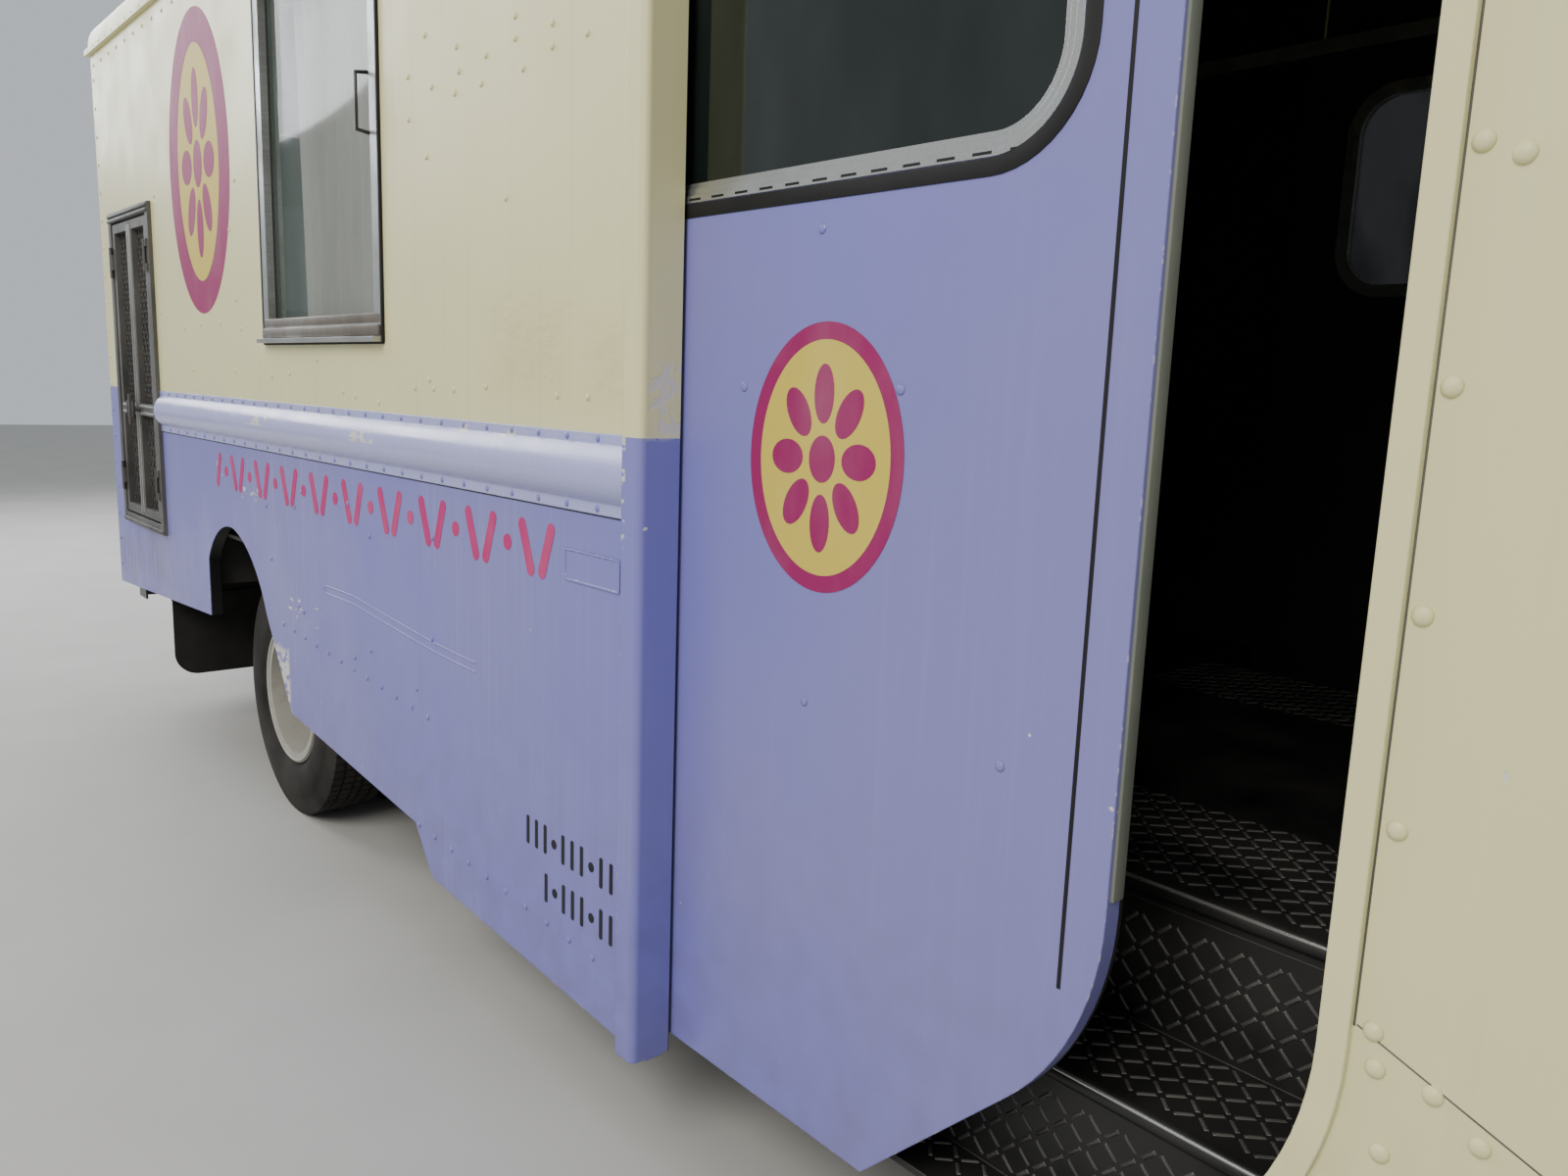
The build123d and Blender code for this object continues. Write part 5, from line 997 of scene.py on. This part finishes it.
sheets = []
countY = int((lugs["y"][1] - lugs["y"][0]) / lugs["pitch"])
alongY = Vector((0, lugs["pitch"], 0))
for side in (curb, driver):
    across, up = Vector((side * lugs["pitch"], 0, 0)), Vector((0, 0, lugs["pitch"]))
    start = lugs["y"][0] + lugs["inset"]
    for x, z, upright, rows in lugSheets:
        sheets += plateLugs((side * x, start, z), alongY, countY, up if upright else across, rows,
            (side, 0, 0) if upright else (0, 0, 1))
settle(sheets, "step_lugs", lugSteel)
noses = []
for side in (curb, driver):
    for x, z in ((0.945, 0.496), (0.750, 0.736)):
        # rubbed line along the top of each rolled nosing
        ends = [(side * (x + lugs["nose"]), y, z + lugs["nose"]) for y in lugs["y"]]
        noses.append(addRod(*ends, lugs["noseR"], 10))
settle(noses, "step_nosing_wear", sashAluminium, 60)
print("steps done")


# Tyres: closed section spun about the axle, with tread blocks raised from the base
tyre = {"steps": 84, "outer": 0.4045, "blockHigh": 0.009,
    "half": ((0.084, 0.2125), (0.0855, 0.2300), (0.0930, 0.2385), (0.1010, 0.2530), (0.1045, 0.2560),
    (0.1080, 0.2760), (0.1095, 0.3000), (0.1075, 0.3300), (0.1060, 0.3330), (0.1060, 0.3390),
    (0.1035, 0.3420), (0.0995, 0.3640), (0.0945, 0.3840), (0.0905, 0.3955)),
    "ribEdges": (0.0905, 0.056, 0.049, 0.018, 0.011), "rounding": 0.004, "frontX": 0.880,
    "rearX": (0.680, 0.940)}


def addTyre(centre):
    base = tyre["outer"] - tyre["blockHigh"]
    half = list(tyre["half"]) + [(x, base) for x in tyre["ribEdges"][1:]]
    loop = half + [(-x, r) for x, r in reversed(half)]
    piece = drawLine([(x, 0, r) for x, r in loop], True)
    editAll(piece)
    bpy.ops.mesh.spin(steps=tyre["steps"], angle=2 * math.pi, center=(0, 0, 0), axis=(1, 0, 0))
    bpy.ops.mesh.select_all(action="SELECT")
    bpy.ops.mesh.remove_doubles(threshold=0.0002)
    bpy.ops.mesh.normals_make_consistent(inside=False)
    edges = tyre["ribEdges"] + tuple(-x for x in reversed(tyre["ribEdges"]))
    ribs = list(zip(edges[1::2], edges[::2]))

    def onRib(face, normal):
        return math.hypot(face.y, face.z) > base - tyre["rounding"] and any(a < face.x < b for a, b in ribs)

    pickFaces(piece, onRib)
    bpy.ops.mesh.inset(thickness=0.0016, depth=tyre["rounding"], use_individual=True)
    bpy.ops.mesh.inset(thickness=0.0010, depth=tyre["blockHigh"] - tyre["rounding"], use_individual=True)
    leaveEdit()
    piece.location = centre
    return placeInMesh(piece)


for name, side in (("right", curb), ("left", driver)):
    frontTyre = settle(addTyre((side * tyre["frontX"], frontAxleY, axleZ)), "front_tread_tyre_" + name,
        tyreRubber, 40, body="wheel_front_" + name)
    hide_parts("front_tyre_" + name)
    pair = mergeAll([addTyre((side * x, rearAxleY, axleZ)) for x in tyre["rearX"]])
    settle(pair, "rear_tread_tyres_" + name, tyreRubber, 40, body="wheel_rear_" + name)
    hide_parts("rear_tyres_" + name)

# Wheels: hub caps, valve stems and a rolled lip
hub = {"frontX": 1.028, "rearX": 0.905, "capR": 0.066, "lipX": (0.974, 1.034), "lipR": 0.222}
for name, side in (("right", curb), ("left", driver)):
    for axleY, x, lipX, body in ((frontAxleY, hub["frontX"], hub["lipX"][0], "wheel_front_"),
            (rearAxleY, hub["rearX"], hub["lipX"][1], "wheel_rear_")):
        cap = addRod((side * (x - 0.004), axleY, axleZ), (side * (x + 0.010), axleY, axleZ), hub["capR"], 40,
            0.005)
        stud = addRod((side * (x + 0.008), axleY, axleZ), (side * (x + 0.018), axleY, axleZ), 0.020, 6, 0.003)
        settle([cap, stud], body + name + "_cap", castSteel, 40, body=body + name)
        lip = [(side * lipX, axleY + hub["lipR"] * math.cos(a), axleZ + hub["lipR"] * math.sin(a))
            for a in (2 * math.pi * i / 64 for i in range(64))]
        valve = drawLine([(side * (lipX - 0.055), axleY, axleZ + 0.192),
            (side * (lipX - 0.030), axleY, axleZ + 0.184), (side * (lipX - 0.006), axleY, axleZ + 0.180)],
            radius=0.0045)
        settle([drawLine(lip, True, 0.0055, 2), valve], body + name + "_lip", wheelGrey, 60,
            body=body + name)
print("wheels done")


# Rear doors: window rubbers, lock rods with their keepers, centre cover strip
rear = {"paneX": 0.350, "paneZ": (1.740, 2.210), "pane": (0.430, 0.470), "band": 0.022}
for name, side in (("right", curb), ("left", driver)):
    body = "rear_door_" + name
    ring = addPlate((rear["pane"][0] + 0.030, rear["pane"][1] + 0.030), 0.075, 0.012, rear["band"], 0.003, 8)
    settle(stand(ring, (side * rear["paneX"], rearY + 0.005, sum(rear["paneZ"]) / 2), (0, 1, 0)),
        "rear_pane_rubber_" + name, gasketRubber, body=body)
lock = {"x": -0.070, "r": 0.007, "out": 0.011, "half": (0.022, 0.016)}
rods = [addRod((lock["x"], rearY + lock["out"], low), (lock["x"], rearY + lock["out"], high), lock["r"], 14)
    for low, high in ((0.80, 1.295), (1.345, 2.48))]
keepers = [addBlock((lock["x"] - lock["half"][0], rearY - 0.001, z - lock["half"][1]),
    (lock["x"] + lock["half"][0], rearY + 0.020, z + lock["half"][1]), 0.003)
    for z in (0.86, 1.16, 1.50, 1.95, 2.42)]
settle(rods + keepers, "rear_lock_rods", castSteel, 50, body="rear_door_right")
strip = addBlock((-0.016, rearY - 0.001, 0.785), (-0.0055, rearY + 0.004, 2.495), 0.001)
settle(strip, "rear_centre_strip", bareAluminium, body="rear_door_right")
print("rear doors done")


# Roof: cross seams under cover strips
roof = {"edgeX": 1.05, "seamYs": (-2.10, -0.78, 0.54, 1.86), "strapR": 0.011, "pressed": 0.72}


def roofHeight(x, y):
    # height of the roof's skin, found on the node itself
    hit, place, normal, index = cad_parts["roof"].ray_cast((x, y, 4.0), (0, 0, -1))
    return place.z


seams = []
for y in roof["seamYs"]:
    line = [(x, y, roofHeight(x, y) + 0.0005) for x in steps(-roof["edgeX"], roof["edgeX"], 0.10)]
    strap = drawLine(line, radius=roof["strapR"])
    for vertex in strap.data.vertices:
        lift = vertex.co.z - roofHeight(max(-roof["edgeX"], min(roof["edgeX"], vertex.co.x)), y)
        vertex.co.z -= lift * roof["pressed"]
    seams.append(strap)
settle(seams, "roof_seams", cream, 60)
print("roof done")


# Mirrors: silvered plates let into the backs of the heads
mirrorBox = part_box("mirrors")
mirror = {"x": 1.350, "y": mirrorBox[0][1] + 0.0432, "heads": ((1.770, 0.400), (1.490, 0.120)), "wide": 0.190,
    "margin": 0.012}
plates = []
for side in (curb, driver):
    for z, tall in mirror["heads"]:
        size = (mirror["wide"] - 2 * mirror["margin"], tall - 2 * mirror["margin"])
        plates.append(stand(addPlate(size, 0.030, 0.004, edge=0.001), (side * mirror["x"], mirror["y"], z),
            (0, 1, 0)))
settle(plates, "mirror_plates", mirrorGlass)
print("mirrors done")


# Cab inside: gauges, shift lever, pedals and stitched seat cushions
gauge = {"x": 0.520, "y": -2.794, "z": 1.462, "radius": 0.038, "apart": 0.092}
dials, bezelRings = [], []
for i in (-1, 0, 1):
    spot = (gauge["x"] + i * gauge["apart"], gauge["y"] + 0.001, gauge["z"] - abs(i) * 0.006)
    dials.append(stand(addOval((gauge["radius"] * 1.9, gauge["radius"] * 1.9), 0.002, sides=32), spot,
        (0, 1, 0)))
    bezelRings.append(stand(addOval((gauge["radius"] * 2.1, gauge["radius"] * 2.1), 0.006, 0.005, 0.0015, 40),
        (spot[0], spot[1] + 0.003, spot[2]), (0, 1, 0)))
settle(dials, "dash_dials", dialWhite)
settle(bezelRings, "dash_bezels", mirrorSteel, 50)
lever = [(0.14, -2.42, 1.118), (0.15, -2.40, 1.25), (0.165, -2.33, 1.38)]
knob = addShape(bpy.ops.mesh.primitive_uv_sphere_add, (1, 1, 1.2), segments=20, ring_count=12, radius=0.024,
    location=lever[-1])
boot = addBlock((0.09, -2.47, 1.116), (0.19, -2.37, 1.136), 0.008)
settle([drawLine(lever, radius=0.007), knob, boot], "shift_lever", wheelPlastic, 50)
pedals = []
for x in (0.42, 0.53, 0.66):
    pad = addBlock((x - 0.032, -2.742, 0.85), (x + 0.032, -2.730, 0.93), 0.006)
    pedals += [pad, drawLine([(x, -2.74, 0.89), (x, -2.80, 0.93), (x, -2.950, 0.965)], radius=0.006)]
settle(pedals, "pedals", wheelPlastic, 50)

seat = {"low": ((0.284, -2.078, 1.081), (0.756, -1.700, 1.188)),
    "back": ((0.292, -1.690, 1.204), (0.748, -1.614, 1.746)), "middle": 0.52, "channel": 0.105, "seam": 0.18}


def addCushion(low, high, crown):
    # a crowned pad: block, rounded, divided, then each face pushed out towards its middle
    pad = addBlock(low, high, 0.022, 3)
    editAll(pad)
    bpy.ops.mesh.subdivide(number_cuts=6)
    leaveEdit()
    addModifier(pad, "REMESH", {"mode": "VOXEL", "voxel_size": 0.008})
    centre, half = (Vector(low) + Vector(high)) / 2, (Vector(high) - Vector(low)) / 2
    for vertex in pad.data.vertices:
        share = [(vertex.co[i] - centre[i]) / half[i] for i in range(3)]
        for i in range(3):
            others = [share[j] for j in range(3) if j != i]
            fall = max(0, 1 - others[0] ** 2) * max(0, 1 - others[1] ** 2)
            vertex.co[i] = centre[i] + (vertex.co[i] - centre[i]) * (1 - crown * (1 - fall))
    return addModifier(pad, "SMOOTH", {"factor": 0.5, "iterations": 6})


def sewChannels(pad, axis, limit, depth):
    # sewn channels draw the cover in, on the side that lies beyond the limit; depth's sign says which way
    for vertex in pad.data.vertices:
        if (vertex.co[axis] - limit) * depth < 0:
            across = abs(((vertex.co.x - seat["middle"]) / seat["channel"]) % 1 - 0.5) * 2
            vertex.co[axis] += depth * max(0, across - 1 + seat["seam"]) / seat["seam"]


lowPad = addCushion(*seat["low"], 0.16)
sewChannels(lowPad, 2, 1.13, -0.008)
backPad = addCushion(*seat["back"], 0.14)
sewChannels(backPad, 1, -1.66, 0.007)
for pad, name, fill in ((lowPad, "seat_pad", 0.75), (backPad, "back_pad", 0.75)):
    settle(pad, name, seatVinyl, 80)
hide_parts("seat_cushions")
print("cab inside done")


# Stage: pale floor, soft lights, and the camera at the photograph's stand point
stage = {"floorSize": 60.0, "floorTone": "b4b3ae", "skyTone": "dfe5ec", "skyStrength": 0.74}
deselectAll()
bpy.ops.mesh.primitive_plane_add(size=stage["floorSize"], location=(0, 0, -0.001))
floorPlane = bpy.context.object
floorPlane.name = "studio_floor"
floorMaterial, add, floorShader, floorWhere = newMaterial("concretePale")
floorMottle = grainMask(add, floorWhere, 2, 0.3, 0.7, detail=8)
fillNode(floorShader, {"Base Color": layerTones(add, tone(stage["floorTone"]),
    [(floorMottle, 0.5, "a5a49f")]), "Roughness": 0.85})
floorPlane.data.materials.append(floorMaterial)

world = bpy.data.worlds.new("softSky")
bpy.context.scene.world = world
world.use_nodes = True
world.node_tree.nodes["Background"].inputs[0].default_value = tone(stage["skyTone"])
world.node_tree.nodes["Background"].inputs[1].default_value = stage["skyStrength"]


def addLight(name, place, target, size, power, colour):
    lamp = bpy.data.lights.new(name, "AREA")
    lamp.shape = "DISK"
    lamp.size = size
    lamp.energy = power
    lamp.color = tone(colour)[:3]
    holder = bpy.data.objects.new(name, lamp)
    bpy.context.collection.objects.link(holder)
    holder.location = place
    holder.rotation_euler = (Vector(target) - Vector(place)).to_track_quat("-Z", "Y").to_euler()


addLight("keySoft", (-9, -3, 8), (0, 0, 1), 7.0, 1050, "fffaf2")
addLight("skyStrip", (-2.5, 9.5, 6.0), (-1.15, 1.0, 1.3), 6.0, 700, "f6f9ff")
addLight("fillSoft", (5, -10, 6), (0, 0, 1), 8.0, 760, "fffaf0")
addLight("backSoft", (2, 11, 7), (0, 0, 1.5), 7.0, 330, "ffffff")

# The lens and the stand point were worked out from the lines of the body in the photograph
camera = {"lens": 26.9, "sensor": 36.0, "place": (-2.31, -2.45, 1.47), "right": (0.7539, -0.6561, 0.0351),
    "up": (0.0844, 0.1498, 0.9851), "back": (-0.6516, -0.7397, 0.1683)}
cameraData = bpy.data.cameras.new("photoCamera")
cameraData.lens = camera["lens"]
cameraData.sensor_width = camera["sensor"]
cameraData.clip_start = 0.05
photoCamera = bpy.data.objects.new("photoCamera", cameraData)
bpy.context.collection.objects.link(photoCamera)
turn = Matrix((camera["right"], camera["up"], camera["back"])).transposed().to_4x4()
photoCamera.matrix_world = Matrix.Translation(camera["place"]) @ turn
bpy.context.scene.camera = photoCamera
print("stage set")
